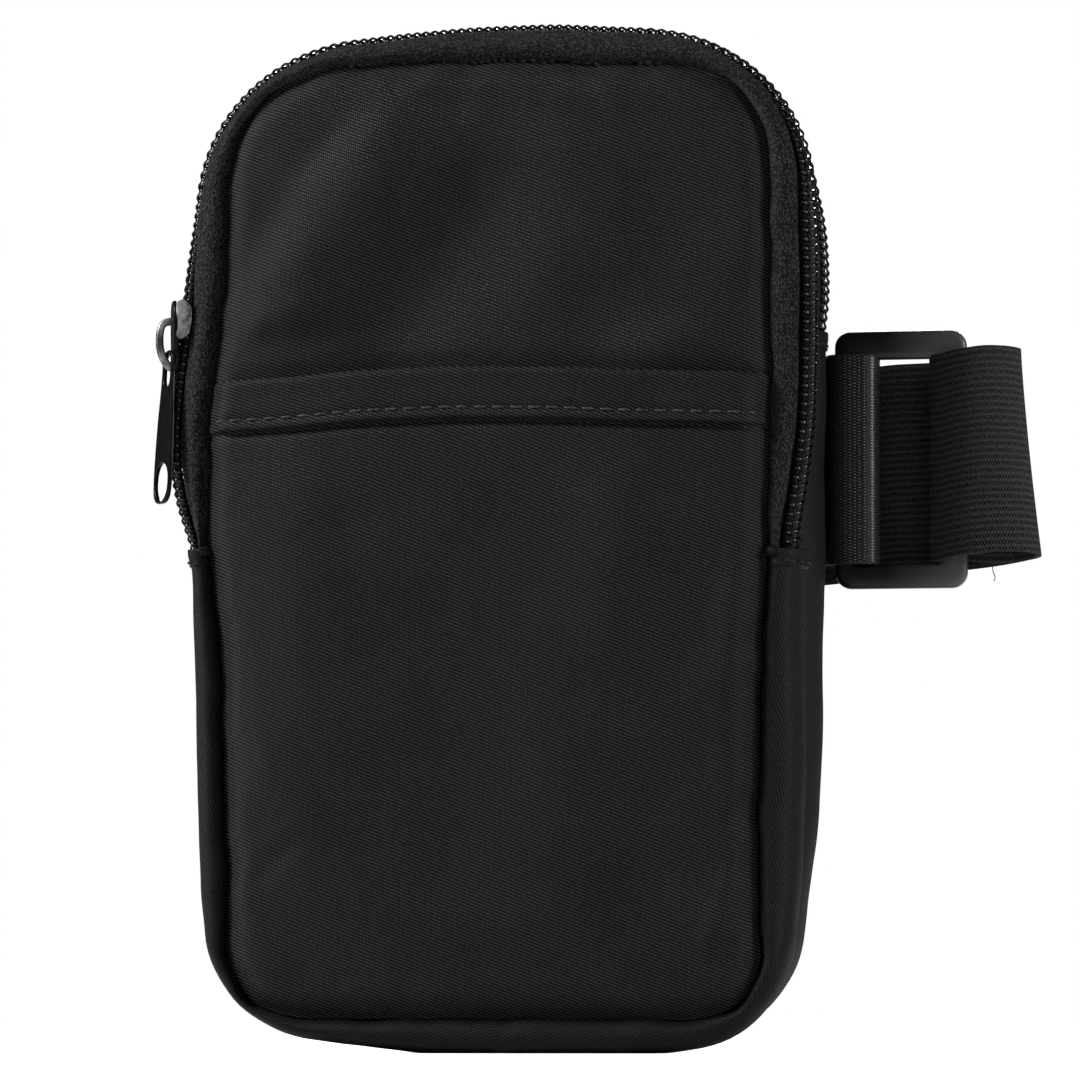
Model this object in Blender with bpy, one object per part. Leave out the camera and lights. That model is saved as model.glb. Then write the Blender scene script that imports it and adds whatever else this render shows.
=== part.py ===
# Armband pouch for a water bottle: two zipped compartments, a slip pocket and an elastic strap.
# Metres, +Z up. The front faces -Y. The origin lies on the flat under the front lobe.
import math

import bmesh
import bpy
from mathutils import Matrix, Vector

# Pouch outline, measured at the seam between a face panel and its side band
PANEL_WIDTH = 0.1005
PANEL_HEIGHT = 0.1742
TOP_RADIUS = 0.024
BOTTOM_RADIUS = 0.0155
ARC_STEPS = 7
SHARP_EDGE = math.radians(35)

# Depth of the two lobes, from the crest of the front lobe
SEAM_DEPTH = 0.0068
DIVIDER_DEPTH = 0.0085
GAP = 0.0003
FABRIC = 0.0010
DIVIDER_THICKNESS = 0.0008

# Side bands: how far they swell past the panel seam, and the share less over the top
GUSSET_SWELL = 0.0068
VALLEY_SWELL = 0.0040
TOP_TUCK_SHARE = 0.25
BASE_FLAT = 0.0005
HEM_DEPTH = 0.0030

# Face panels
FRONT_CROWN = 0.0027
BACK_CROWN = 0.0012
CROWN_ACROSS_POWER = 3
CROWN_ALONG_POWER = 4
PANEL_COLUMNS = 10
PANEL_ROW = 0.012

# Slip pocket on the front face
POCKET_ABOVE_HEM = 0.0319
POCKET_FACING = 0.0091
POCKET_FABRIC = 0.0007
POCKET_CLEARANCE = 0.0003
FACING_THICKNESS = 0.0006
POCKET_SIDE_INSET = 0.0006

# Zip chain; each zip runs down both sides to a hem, some way below the top corners
FRONT_ZIP_SIDE = 0.0646
REAR_ZIP_SIDE = 0.0247
TAPE = 0.0007
CHAIN_SWELL = 0.0059
CHAIN_DEPTH = 0.0012
CHAIN_TILT = math.radians(18.8)
COIL_HALF_WIDTH = 0.0026
COIL_HEIGHT = 0.0019
COIL_RAIL = 0.0011
TOOTH_STEP = 0.0044
TOOTH_WIDTH = 0.0013
TOOTH_FLANK = 0.0003
TOOTH_OVERLAP = 0.0003
CHAIN_GAP = 0.0003
CHAIN_SPREAD = 0.0010
SPREAD_START = 0.0015
SPREAD_RUN = 0.0050
SPREAD_STEPS = 4

# Slider
SLIDER_LENGTH = 0.0135
SLIDER_PLATE = 0.0015
SLIDER_INNER_PLATE = 0.0010
SLIDER_CLEARANCE = 0.0003
SLIDER_FLANGE = 0.0007
NECK_WIDTH = 0.0008
NECK_LENGTH = 0.0032
NECK_INSET = 0.0008
NECK_TAPER_SHARE = 0.70
SLIDER_TIP_SHARES = [(0.62, 1.0), (0.90, 0.95)]
FLANGE_START_SHARE = 0.80
FLANGE_END_SHARE = 0.86
FRONT_SLIDER_ABOVE_HEM = 0.0381
REAR_SLIDER_ABOVE_HEM = 0.0077

# Bridge on the slider, a bent strip
BRIDGE_LENGTH = 0.0093
BRIDGE_RISE = 0.0036
BRIDGE_WIDTH = 0.0026
BRIDGE_THICKNESS = 0.0009
BRIDGE_SHARES = [(0.0, 1.0), (0.45, 0.93), (0.80, 0.72), (1.0, 0.35)]

# Puller
PULLER_LENGTH = 0.0290
PULLER_WIDTH = 0.0080
PULLER_NECK_WIDTH = 0.0058
PULLER_THICKNESS = 0.0015
PULLER_EYE_BAR = 0.0013
PULLER_EYE_LENGTH = 0.0048
PULLER_EYE_CLEARANCE = 0.0004
PULLER_SLOT_LENGTH = 0.0070
PULLER_SLOT_WIDTH = 0.0042
PULLER_SLOT_RIM = 0.0014
PULLER_PIVOT_DROP = 0.0012
PULLER_PIVOT_SHARE = 0.44
PULLER_WAIST_SHARE = 0.45
PULLER_TIP_SHARES = [(0.45, 0.0), (0.85, 0.28), (1.0, 1.0)]
PULLER_WAIST_WIDTH_SHARE = 0.97
PULLER_SHOULDER_SHARE = 0.72

# Strap, ring and webbing loop
STRAP_WIDTH = 0.0380
STRAP_BELOW_HEM = 0.0042
RING_LEFT = 0.0582
RING_WIDTH = 0.0248
RING_STRAP_CLEARANCE = 0.00025
RING_BAR = 0.0044
RING_LOOP_BAR = 0.0034
RING_THICKNESS = 0.0030
RING_CORNER = 0.0042
RING_CORNER_STEPS = 5
RING_EDGE = 0.0008
RING_SET_IN = 0.0020
WEBBING = 0.0011
WEBBING_CREST = 0.0074
WEBBING_LOOP_CLEARANCE = 0.0006
WEBBING_INNER_SHARES = [(0.80, -0.66), (1.13, 0.08)]
WEBBING_LEAD_SHARE = 1.85
WEBBING_OUTER_SHARE = 2.0
ELASTIC = 0.0013
FOLD_PAST_RING = 0.0115
ELASTIC_SLANT = math.radians(7.0)
ELASTIC_LAYER_GAP = 0.0005
ELASTIC_TAIL_SHARE = 0.73
ELASTIC_BACK_SHARES = [-1.0, -0.80, 0.75, 0.97]
STRAP_HINGE_GAP = 0.0024
HOOK_THICKNESS = 0.0009
HOOK_LENGTH_SHARE = 0.80
HOOK_MARGIN = 0.0030
ANCHOR_INSET = 0.0020
FOLD_STEPS = 8

# Sizes that follow from the ones above
HALF_WIDTH = PANEL_WIDTH / 2
PANEL_BOTTOM = GUSSET_SWELL - BASE_FLAT
PANEL_TOP = PANEL_BOTTOM + PANEL_HEIGHT
HEM_HEIGHT_FRONT = PANEL_TOP - TOP_RADIUS - FRONT_ZIP_SIDE
HEM_HEIGHT_REAR = PANEL_TOP - TOP_RADIUS - REAR_ZIP_SIDE
POCKET_MOUTH = HEM_HEIGHT_FRONT + POCKET_ABOVE_HEM
FRONT_SEAM = -SEAM_DEPTH
MID = DIVIDER_DEPTH
TEETH_TOP = COIL_HEIGHT + GAP
SLIDER_TAIL = COIL_HALF_WIDTH + SLIDER_CLEARANCE
SLIDER_MOUTH = SLIDER_TAIL + CHAIN_SPREAD
SLIDER_REACH = SLIDER_MOUTH + SLIDER_FLANGE
PLATE_BASE = TEETH_TOP + SLIDER_CLEARANCE
PLATE_TOP = PLATE_BASE + SLIDER_PLATE
STRAP_TOP = HEM_HEIGHT_REAR - STRAP_BELOW_HEM
RING_HEIGHT = STRAP_WIDTH + 2 * (RING_BAR + RING_STRAP_CLEARANCE)
RING_DEPTH = 2 * MID + SEAM_DEPTH - RING_SET_IN
ELASTIC_FOLD = RING_LEFT + RING_WIDTH + FOLD_PAST_RING
RING_BAR_MIDDLE = RING_LEFT + RING_WIDTH - RING_BAR / 2
ELASTIC_TAIL = ELASTIC_TAIL_SHARE * (ELASTIC_FOLD - RING_BAR_MIDDLE)


def clear_scene():
    for item in list(bpy.data.objects):
        bpy.data.objects.remove(item, do_unlink=True)


def material(name, colour, roughness, metallic=0.0):
    made = bpy.data.materials.new(name)
    made.use_nodes = True
    shader = made.node_tree.nodes["Principled BSDF"]
    shader.inputs["Base Color"].default_value = (*colour, 1.0)
    shader.inputs["Roughness"].default_value = roughness
    shader.inputs["Metallic"].default_value = metallic
    return made


def add_object(name, vertices, faces, finish):
    """Makes one object from points and faces, with its faces turned outwards."""
    mesh = bpy.data.meshes.new(name)
    mesh.from_pydata([tuple(v) for v in vertices], [], faces)
    work = bmesh.new()
    work.from_mesh(mesh)
    bmesh.ops.recalc_face_normals(work, faces=work.faces)
    work.to_mesh(mesh)
    work.free()
    mesh.materials.append(finish)
    mesh.shade_smooth()
    mesh.set_sharp_from_angle(angle=SHARP_EDGE)
    item = bpy.data.objects.new(name, mesh)
    bpy.context.collection.objects.link(item)
    return item


def skin(rings, closed=False):
    """Faces between rings of equal size, with end caps unless the rings close on themselves."""
    count = len(rings[0])
    vertices = [p for ring in rings for p in ring]
    faces = []
    last = len(rings) if closed else len(rings) - 1
    for i in range(last):
        a = i * count
        b = ((i + 1) % len(rings)) * count
        for k in range(count):
            n = (k + 1) % count
            faces.append((a + k, a + n, b + n, b + k))
    if not closed:
        faces.append(tuple(reversed(range(count))))
        faces.append(tuple(range((len(rings) - 1) * count, len(rings) * count)))
    return vertices, faces


def arc(centre_x, centre_z, radius, start, end, steps):
    """Points and outward directions along an arc in the XZ plane."""
    found = []
    for i in range(steps + 1):
        angle = start + (end - start) * i / steps
        out = (math.cos(angle), math.sin(angle))
        found.append((centre_x + radius * out[0], centre_z + radius * out[1], out[0], out[1]))
    return found


def upper_run(height):
    """Stations from the left side at a height, over the top, down to the right side."""
    x = HALF_WIDTH - TOP_RADIUS
    z = PANEL_TOP - TOP_RADIUS
    left = arc(-x, z, TOP_RADIUS, math.pi, math.pi / 2, ARC_STEPS)
    right = arc(x, z, TOP_RADIUS, math.pi / 2, 0, ARC_STEPS)
    return [(-HALF_WIDTH, height, -1, 0), *left, *right, (HALF_WIDTH, height, 1, 0)]


def lower_run(height):
    """Stations from the right side at a height, round the bottom, up to the left side."""
    x = HALF_WIDTH - BOTTOM_RADIUS
    z = PANEL_BOTTOM + BOTTOM_RADIUS
    right = arc(x, z, BOTTOM_RADIUS, 0, -math.pi / 2, ARC_STEPS)
    left = arc(-x, z, BOTTOM_RADIUS, -math.pi / 2, -math.pi, ARC_STEPS)
    return [(HALF_WIDTH, height, 1, 0), *right, *left, (-HALF_WIDTH, height, -1, 0)]


def run_at(stations, distances):
    """Stations at given distances along a run of stations."""
    lengths = [0.0]
    for a, b in zip(stations, stations[1:]):
        lengths.append(lengths[-1] + math.hypot(b[0] - a[0], b[1] - a[1]))
    found = []
    k = 0
    for d in distances:
        d = min(max(d, 0.0), lengths[-1])
        while k < len(lengths) - 2 and lengths[k + 1] < d:
            k += 1
        t = (d - lengths[k]) / (lengths[k + 1] - lengths[k])
        a, b = stations[k], stations[k + 1]
        mixed = [a[i] + (b[i] - a[i]) * t for i in range(4)]
        size = math.hypot(mixed[2], mixed[3])
        found.append((mixed[0], mixed[1], mixed[2] / size, mixed[3] / size))
    return found


def run_length(stations):
    return sum(math.hypot(b[0] - a[0], b[1] - a[1]) for a, b in zip(stations, stations[1:]))


def place(station, swell, depth, side):
    """A point a swell outside the outline, less over the top; side -1 is the front lobe, 1 the rear."""
    x, z, nx, nz = station
    swell *= 1 - TOP_TUCK_SHARE * max(nz, 0.0)
    y = depth if side < 0 else 2 * MID - depth
    return (x + swell * nx, y, max(z + swell * nz, 0.0))


def thicken(path, thickness):
    """A closed band profile: the path, then the path moved inwards by a thickness."""
    inner = []
    for i, point in enumerate(path):
        before = path[max(i - 1, 0)]
        after = path[min(i + 1, len(path) - 1)]
        along = Vector((after[0] - before[0], after[1] - before[1])).normalized()
        inner.append((point[0] - along.y * thickness, point[1] + along.x * thickness))
    return list(path) + inner[::-1]


def band(name, stations, profile, side, finish):
    """A band swept along stations; profile is a list of swell and depth, or a function of the station."""
    rings = []
    for station in stations:
        points = profile(station) if callable(profile) else profile
        rings.append([place(station, swell, depth, side) for swell, depth in points])
    return add_object(name, *skin(rings), finish)


def sheet(name, rows, columns, surface, thickness, side, finish, inset=0.0):
    """A dished panel: rows give a height and half width, surface(u, z) how far it stands forward."""
    outer = []
    inner = []
    for z, half in rows:
        for i in range(columns + 1):
            u = 2 * i / columns - 1
            x = u * (half - inset)
            forward = surface(u, z)
            for found, depth in ((outer, forward), (inner, forward - thickness)):
                y = FRONT_SEAM - depth
                found.append((x, y if side < 0 else 2 * MID - y, z))
    wide = columns + 1
    size = len(outer)
    faces = []
    for r in range(len(rows) - 1):
        for i in range(columns):
            a = r * wide + i
            faces.append((a, a + 1, a + wide + 1, a + wide))
            faces.append((size + a, size + a + wide, size + a + wide + 1, size + a + 1))
    rim = [*range(wide), *[r * wide + columns for r in range(1, len(rows))]]
    rim += [(len(rows) - 1) * wide + i for i in range(columns - 1, -1, -1)]
    rim += [r * wide for r in range(len(rows) - 2, 0, -1)]
    for a, b in zip(rim, rim[1:] + rim[:1]):
        faces.append((a, b, size + b, size + a))
    return add_object(name, outer + inner, faces, finish)


def panel_rows(low, high):
    """Heights and half widths of a face panel between two heights, matching the bands' stations."""
    found = {}
    for x, z, nx, nz in upper_run(low) + lower_run(low):
        if x > 0 and low < z < high:
            found[z] = x
    for edge in (low, high):
        reach = HALF_WIDTH
        if edge >= PANEL_TOP:
            reach = HALF_WIDTH - TOP_RADIUS
        if edge <= PANEL_BOTTOM:
            reach = HALF_WIDTH - BOTTOM_RADIUS
        found[edge] = reach
    start = max(low, PANEL_BOTTOM + BOTTOM_RADIUS)
    end = min(high, PANEL_TOP - TOP_RADIUS)
    count = max(int((end - start) / PANEL_ROW), 1)
    for i in range(1, count):
        found[start + (end - start) * i / count] = HALF_WIDTH
    return sorted(found.items())


def crown(amount):
    """How far a panel stands forward of its seam: most in the middle, nothing at the seam."""
    def surface(u, z):
        rise = (z - PANEL_BOTTOM) / PANEL_HEIGHT
        across = 1 - abs(u) ** CROWN_ACROSS_POWER
        return amount * across * (1 - abs(2 * rise - 1) ** CROWN_ALONG_POWER)
    return surface


def raised(surface, amount):
    return lambda u, z: surface(u, z) + amount


def gusset_profile():
    """The fabric side band of one lobe, from the panel seam over the crest to the divider."""
    front_shares = [(0.42, -0.97), (0.74, -0.80), (0.94, -0.45), (1.0, -0.05)]
    rear_shares = [(1.0, 0.20), (0.935, 0.48), (0.78, 0.74)]
    path = [(GAP, FRONT_SEAM)]
    path += [(GUSSET_SWELL * s, SEAM_DEPTH * d) for s, d in front_shares]
    path += [(GUSSET_SWELL * s, DIVIDER_DEPTH * d) for s, d in rear_shares]
    path.append((VALLEY_SWELL, DIVIDER_DEPTH - DIVIDER_THICKNESS / 2 - GAP))
    return path


def chain_point(across, height):
    """A point on the chain: across it from the front half to the rear half, and outwards from the tape."""
    along = (math.sin(CHAIN_TILT), math.cos(CHAIN_TILT))
    out = (math.cos(CHAIN_TILT), -math.sin(CHAIN_TILT))
    return (CHAIN_SWELL + across * along[0] + height * out[0],
            -CHAIN_DEPTH + across * along[1] + height * out[1])


def spread_at(station, slider_height):
    """How far each half of the chain stands off the middle: apart below the slider on the left side."""
    x, z, nx, nz = station
    if x > 0 or z > slider_height + SPREAD_START:
        return 0.0
    t = min((slider_height + SPREAD_START - z) / SPREAD_RUN, 1.0)
    return CHAIN_SPREAD * t * t * (3 - 2 * t)


def chain_stations(height, slider_height):
    """Stations of the zip tapes, with extra ones where the chain parts."""
    run = upper_run(height)
    top = slider_height + SPREAD_START
    left = [top - SPREAD_RUN * i / SPREAD_STEPS for i in range(SPREAD_STEPS + 1)]
    extra = [(-HALF_WIDTH, z, -1, 0) for z in sorted(left) if z > height + GAP]
    return [run[0], *extra, *run[1:]]


def front_tape(slider_height):
    shares = [(0.45, -0.96)]
    flat = SLIDER_REACH - GAP

    def profile(station):
        end = -(CHAIN_GAP / 2 + spread_at(station, slider_height))
        path = [(GAP, FRONT_SEAM)]
        path += [(CHAIN_SWELL * s, SEAM_DEPTH * d) for s, d in shares]
        path += [chain_point(-flat, 0.0), chain_point(end, 0.0)]
        return thicken(path, TAPE)
    return profile


def rear_tape(slider_height):
    shares = [(1.18, 0.60), (0.92, 0.82)]
    flat = SLIDER_REACH - GAP

    def profile(station):
        start = CHAIN_GAP / 2 + spread_at(station, slider_height)
        path = [chain_point(start, 0.0), chain_point(flat, 0.0)]
        path += [(CHAIN_SWELL * s, DIVIDER_DEPTH * d) for s, d in shares]
        path.append((VALLEY_SWELL, DIVIDER_DEPTH - DIVIDER_THICKNESS / 2 - GAP))
        return thicken(path, TAPE)
    return profile


def coil(name, height, slider_height, half, side, finish):
    """One half of the chain: a rail on its tape with teeth that reach past the middle."""
    run = upper_run(height)
    length = run_length(run)
    tooth = TOOTH_WIDTH + 2 * TOOTH_FLANK
    first = TOOTH_STEP / 2 if half < 0 else TOOTH_STEP
    marks = [(0.0, False)]
    count = int((length - first - tooth) / TOOTH_STEP)
    for i in range(count + 1):
        start = first + i * TOOTH_STEP - tooth / 2
        marks += [(start, False), (start + TOOTH_FLANK, True)]
        marks += [(start + TOOTH_FLANK + TOOTH_WIDTH, True), (start + tooth, False)]
    marks.append((length, False))
    stations = run_at(run, [d for d, reaching in marks])
    rings = []
    for station, (d, reaching) in zip(stations, marks):
        spread = spread_at(station, slider_height)
        outer = COIL_HALF_WIDTH + spread
        inner = spread - TOOTH_OVERLAP if reaching else outer - COIL_RAIL
        crest = outer - COIL_RAIL / 2
        ring = [chain_point(half * outer, GAP), chain_point(half * crest, TEETH_TOP)]
        ring += [chain_point(half * inner, TEETH_TOP), chain_point(half * inner, GAP)]
        rings.append([place(station, swell, depth, side) for swell, depth in ring])
    return add_object(name, *skin(rings), finish)


def prism(name, outline, low, high, finish, bevel=0.0):
    """An outline in the YZ plane, extruded along X."""
    vertices = [(low, y, z) for y, z in outline] + [(high, y, z) for y, z in outline]
    count = len(outline)
    faces = [tuple(range(count)), tuple(range(2 * count - 1, count - 1, -1))]
    faces += [(k, (k + 1) % count, count + (k + 1) % count, count + k) for k in range(count)]
    item = add_object(name, vertices, faces, finish)
    if bevel > 0:
        rounding = item.modifiers.new("edge", "BEVEL")
        rounding.width = bevel
        rounding.segments = 2
        rounding.limit_method = "ANGLE"
    return item


def combine(item, tools, operation):
    """Adds or cuts tool bodies; the tools stay hidden as guides."""
    for tool in tools:
        step = item.modifiers.new(tool.name, "BOOLEAN")
        step.operation = operation
        step.solver = "EXACT"
        step.object = tool
        tool.hide_render = True
        tool.display_type = "WIRE"
        tool.parent = item
    return item


def mirrored(points):
    """Completes a symmetric outline from its right side, listed from bottom to top."""
    return [(y, z) for y, z in points] + [(-y, z) for y, z in reversed(points)]


def slider_body(name, finish):
    """Two plates on a wedge, with flanges that hold the chain; X points outwards, Z up the chain."""
    half = SLIDER_LENGTH / 2
    mouth = SLIDER_MOUTH + SLIDER_FLANGE
    tail = SLIDER_TAIL + SLIDER_FLANGE
    low = SPREAD_START - SPREAD_RUN
    flange_low = -half * FLANGE_START_SHARE
    flange_high = half * FLANGE_END_SHARE
    right = [(mouth * s, -half * e) for s, e in SLIDER_TIP_SHARES]
    right += [(mouth, flange_low), (mouth, low), (tail, SPREAD_START), (tail, flange_high)]
    right += [(tail * s, half * e) for s, e in reversed(SLIDER_TIP_SHARES)]
    body = prism(name, mirrored(right), PLATE_BASE, PLATE_TOP, finish)
    tools = []
    for sign, label in ((1, "right"), (-1, "left")):
        edge = [(mouth - SLIDER_FLANGE, flange_low), (mouth, flange_low), (mouth, low)]
        edge += [(tail, SPREAD_START), (tail, flange_high), (tail - SLIDER_FLANGE, flange_high)]
        edge += [(tail - SLIDER_FLANGE, SPREAD_START), (mouth - SLIDER_FLANGE, low)]
        outline = [(sign * y, z) for y, z in edge]
        tools.append(prism(f"{name}_flange_{label}", outline, GAP, PLATE_BASE + SLIDER_PLATE / 2, finish))
    inner_top = -TAPE - SLIDER_CLEARANCE
    shrink = (SLIDER_REACH - 2 * SLIDER_FLANGE) / SLIDER_REACH
    inner = [(y * shrink, z) for y, z in mirrored(right)]
    tools.append(prism(f"{name}_inner", inner, inner_top - SLIDER_INNER_PLATE, inner_top, finish))
    neck_low = -half + NECK_INSET
    neck = [(NECK_WIDTH / 2, neck_low), (NECK_WIDTH / 2, neck_low + NECK_LENGTH * NECK_TAPER_SHARE)]
    neck.append((NECK_WIDTH / 4, neck_low + NECK_LENGTH))
    base = inner_top - SLIDER_INNER_PLATE / 2
    tools.append(prism(f"{name}_neck", mirrored(neck), base, PLATE_BASE + SLIDER_PLATE / 2, finish))
    return combine(body, tools, "UNION")


def slider_bridge(name, finish):
    """The bent strip on the slider that the puller hangs in."""
    foot = PLATE_TOP + GAP
    half = BRIDGE_LENGTH / 2
    path = [(foot + BRIDGE_RISE * r, -half * s) for r, s in BRIDGE_SHARES]
    path += [(foot + BRIDGE_RISE * r, half * s) for r, s in reversed(BRIDGE_SHARES)]
    rings = []
    for i, (x, z) in enumerate(path):
        before = path[max(i - 1, 0)]
        after = path[min(i + 1, len(path) - 1)]
        along = Vector((after[0] - before[0], after[1] - before[1])).normalized()
        if i in (0, len(path) - 1):
            along = Vector((1.0 if i == 0 else -1.0, 0.0))
        inward = Vector((-along.y, along.x)) * BRIDGE_THICKNESS
        width = BRIDGE_WIDTH / 2
        rings.append([(x, -width, z), (x, width, z), (x + inward.x, width, z + inward.y),
                      (x + inward.x, -width, z + inward.y)])
    return add_object(name, *skin(rings), finish)


def rounded_rectangle(width, height, radius, centre, steps=3):
    """Outline points in the YZ plane, anticlockwise."""
    found = []
    corners = ((1, -1, -math.pi / 2), (1, 1, 0.0), (-1, 1, math.pi / 2), (-1, -1, math.pi))
    for sy, sz, start in corners:
        for i in range(steps + 1):
            angle = start + math.pi / 2 * i / steps
            found.append((centre[0] + sy * (width / 2 - radius) + radius * math.cos(angle),
                          centre[1] + sz * (height / 2 - radius) + radius * math.sin(angle)))
    return found


def puller(name, finish):
    """A flat tab hanging in the bridge: an eye at the top, a slot at the bottom; origin on its pivot."""
    rise = PULLER_EYE_BAR / 2
    bottom = rise - PULLER_LENGTH
    neck = PULLER_NECK_WIDTH / 2
    wide = PULLER_WIDTH / 2
    right = [(wide * s, bottom + wide * r) for s, r in PULLER_TIP_SHARES]
    right.append((wide * PULLER_WAIST_WIDTH_SHARE, -PULLER_LENGTH * PULLER_WAIST_SHARE))
    right += [(neck, -PULLER_EYE_LENGTH), (neck, 0.0), (neck * PULLER_SHOULDER_SHARE, rise)]
    tab = prism(name, mirrored(right), -PULLER_THICKNESS / 2, PULLER_THICKNESS / 2, finish)
    eye_width = BRIDGE_WIDTH + 2 * PULLER_EYE_CLEARANCE
    eye_centre = (0.0, -PULLER_EYE_BAR / 2 - PULLER_EYE_LENGTH / 2)
    eye = rounded_rectangle(eye_width, PULLER_EYE_LENGTH, PULLER_EYE_BAR / 2, eye_centre, 2)
    slot_centre = (0.0, bottom + PULLER_SLOT_RIM + PULLER_SLOT_LENGTH / 2)
    slot = rounded_rectangle(PULLER_SLOT_WIDTH, PULLER_SLOT_LENGTH, PULLER_SLOT_WIDTH / 2 - GAP, slot_centre)
    tools = [prism(f"{name}_eye", eye, -PULLER_THICKNESS, PULLER_THICKNESS, finish),
             prism(f"{name}_slot", slot, -PULLER_THICKNESS, PULLER_THICKNESS, finish)]
    return combine(tab, tools, "DIFFERENCE")


def plan_band(name, path, thickness, finish, offset=None):
    """A strap standing on edge: a plan path of X and Y, with the strap's width up Z."""
    rings = []
    for i, (x, y) in enumerate(path):
        before = path[max(i - 1, 0)]
        after = path[min(i + 1, len(path) - 1)]
        along = Vector((after[0] - before[0], after[1] - before[1])).normalized()
        side = Vector((-along.y, along.x)) * thickness / 2
        top = STRAP_TOP + (offset(i) if offset else 0.0)
        low = top - STRAP_WIDTH
        a = (x + side.x, y + side.y)
        b = (x - side.x, y - side.y)
        rings.append([(*a, low), (*b, low), (*b, top), (*a, top)])
    return add_object(name, *skin(rings), finish)


def half_turn(centre, radius, start, end, steps):
    """Plan points of an arc, from one angle to another."""
    return [(centre[0] + radius * math.cos(start + (end - start) * i / steps),
             centre[1] + radius * math.sin(start + (end - start) * i / steps)) for i in range(steps + 1)]


def make_divider(finish):
    """The flat wall between the two compartments, sewn to both side bands."""
    stations = upper_run(HEM_HEIGHT_FRONT) + lower_run(HEM_HEIGHT_FRONT)
    rings = []
    for y in (MID - DIVIDER_THICKNESS / 2, MID + DIVIDER_THICKNESS / 2):
        ring = []
        for station in stations:
            x, depth, z = place(station, VALLEY_SWELL, 0.0, -1)
            if not ring or math.dist((x, z), (ring[-1][0], ring[-1][2])) > GAP:
                ring.append((x, y, z))
        if math.dist(ring[0], ring[-1]) < GAP:
            ring.pop()
        rings.append(ring)
    return add_object("divider_panel", *skin(rings), finish)


def make_side_band(label, hem_height, side, finish):
    """The fabric band of one lobe, with a folded hem over each end of the zip."""
    path = gusset_profile()
    top = hem_height - HEM_DEPTH
    band(f"{label}_gusset", lower_run(top - GAP), thicken(path, FABRIC), side, finish)
    proud = [(swell + GAP, depth) for swell, depth in path[:-1]] + [path[-1]]
    hem_profile = thicken(proud, FABRIC + 2 * GAP)
    for sign, name in ((-1, "left"), (1, "right")):
        ends = [(sign * HALF_WIDTH, top, sign, 0), (sign * HALF_WIDTH, hem_height, sign, 0)]
        band(f"{label}_hem_{name}", ends, hem_profile, side, finish)


def make_zip(label, hem_height, slider_height, side, tape_finish, coil_finish):
    """Both tapes and both halves of the chain of one zip."""
    low = hem_height + GAP
    stations = chain_stations(low, slider_height)
    outer = band(f"{label}_zip_panel_tape", stations, front_tape(slider_height), side, tape_finish)
    band(f"{label}_zip_divider_tape", stations, rear_tape(slider_height), side, tape_finish)
    chain = coil(f"{label}_zip_panel_coil", low, slider_height, -1, side, coil_finish)
    coil(f"{label}_zip_divider_coil", low, slider_height, 1, side, coil_finish)
    return [outer, chain]


def make_slider(label, height, side, metal, gloss):
    """Slider, bridge and puller on the left side of one zip."""
    y = -CHAIN_DEPTH if side < 0 else 2 * MID + CHAIN_DEPTH
    mount = bpy.data.objects.new(f"{label}_slider_place", None)
    bpy.context.collection.objects.link(mount)
    mount.location = (-HALF_WIDTH - CHAIN_SWELL, y, height)
    mount.rotation_euler = (0.0, 0.0, math.pi - side * CHAIN_TILT)
    body = slider_body(f"{label}_slider", metal)
    bridge = slider_bridge(f"{label}_slider_bridge", metal)
    tab = puller(f"{label}_puller", gloss)
    tab.location = (PLATE_TOP + GAP + BRIDGE_RISE * PULLER_PIVOT_SHARE, 0.0, -PULLER_PIVOT_DROP)
    for item in (body, bridge, tab):
        item.parent = mount
    return mount


def make_ring(finish):
    """Rectangular strap ring, its edges eased; the bar in the webbing loop is slimmer."""
    middle_z = STRAP_TOP - STRAP_WIDTH / 2
    centre = (RING_LEFT + RING_WIDTH / 2, middle_z)
    window_width = RING_WIDTH - RING_BAR - RING_LOOP_BAR
    window_height = RING_HEIGHT - 2 * RING_BAR
    window_centre = (centre[0] + (RING_LOOP_BAR - RING_BAR) / 2, middle_z)
    front = RING_DEPTH - RING_THICKNESS / 2
    back = RING_DEPTH + RING_THICKNESS / 2
    layers = [(front, RING_EDGE), (front + RING_EDGE, 0.0), (back - RING_EDGE, 0.0), (back, RING_EDGE)]
    vertices = []
    for y, ease in layers:
        outer = rounded_rectangle(RING_WIDTH - 2 * ease, RING_HEIGHT - 2 * ease, RING_CORNER - ease, centre,
                                  RING_CORNER_STEPS)
        window = rounded_rectangle(window_width + 2 * ease, window_height + 2 * ease, GAP + ease, window_centre,
                                   RING_CORNER_STEPS)
        count = len(outer)
        vertices += [(px, y, pz) for px, pz in outer + window]
    faces = []
    for level in range(len(layers) - 1):
        for offset in (0, count):
            a = level * 2 * count + offset
            b = a + 2 * count
            faces += [(a + k, a + (k + 1) % count, b + (k + 1) % count, b + k) for k in range(count)]
    for level in (0, len(layers) - 1):
        a = level * 2 * count
        b = a + count
        faces += [(a + k, a + (k + 1) % count, b + (k + 1) % count, b + k) for k in range(count)]
    return add_object("strap_ring", vertices, faces, finish)


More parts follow.
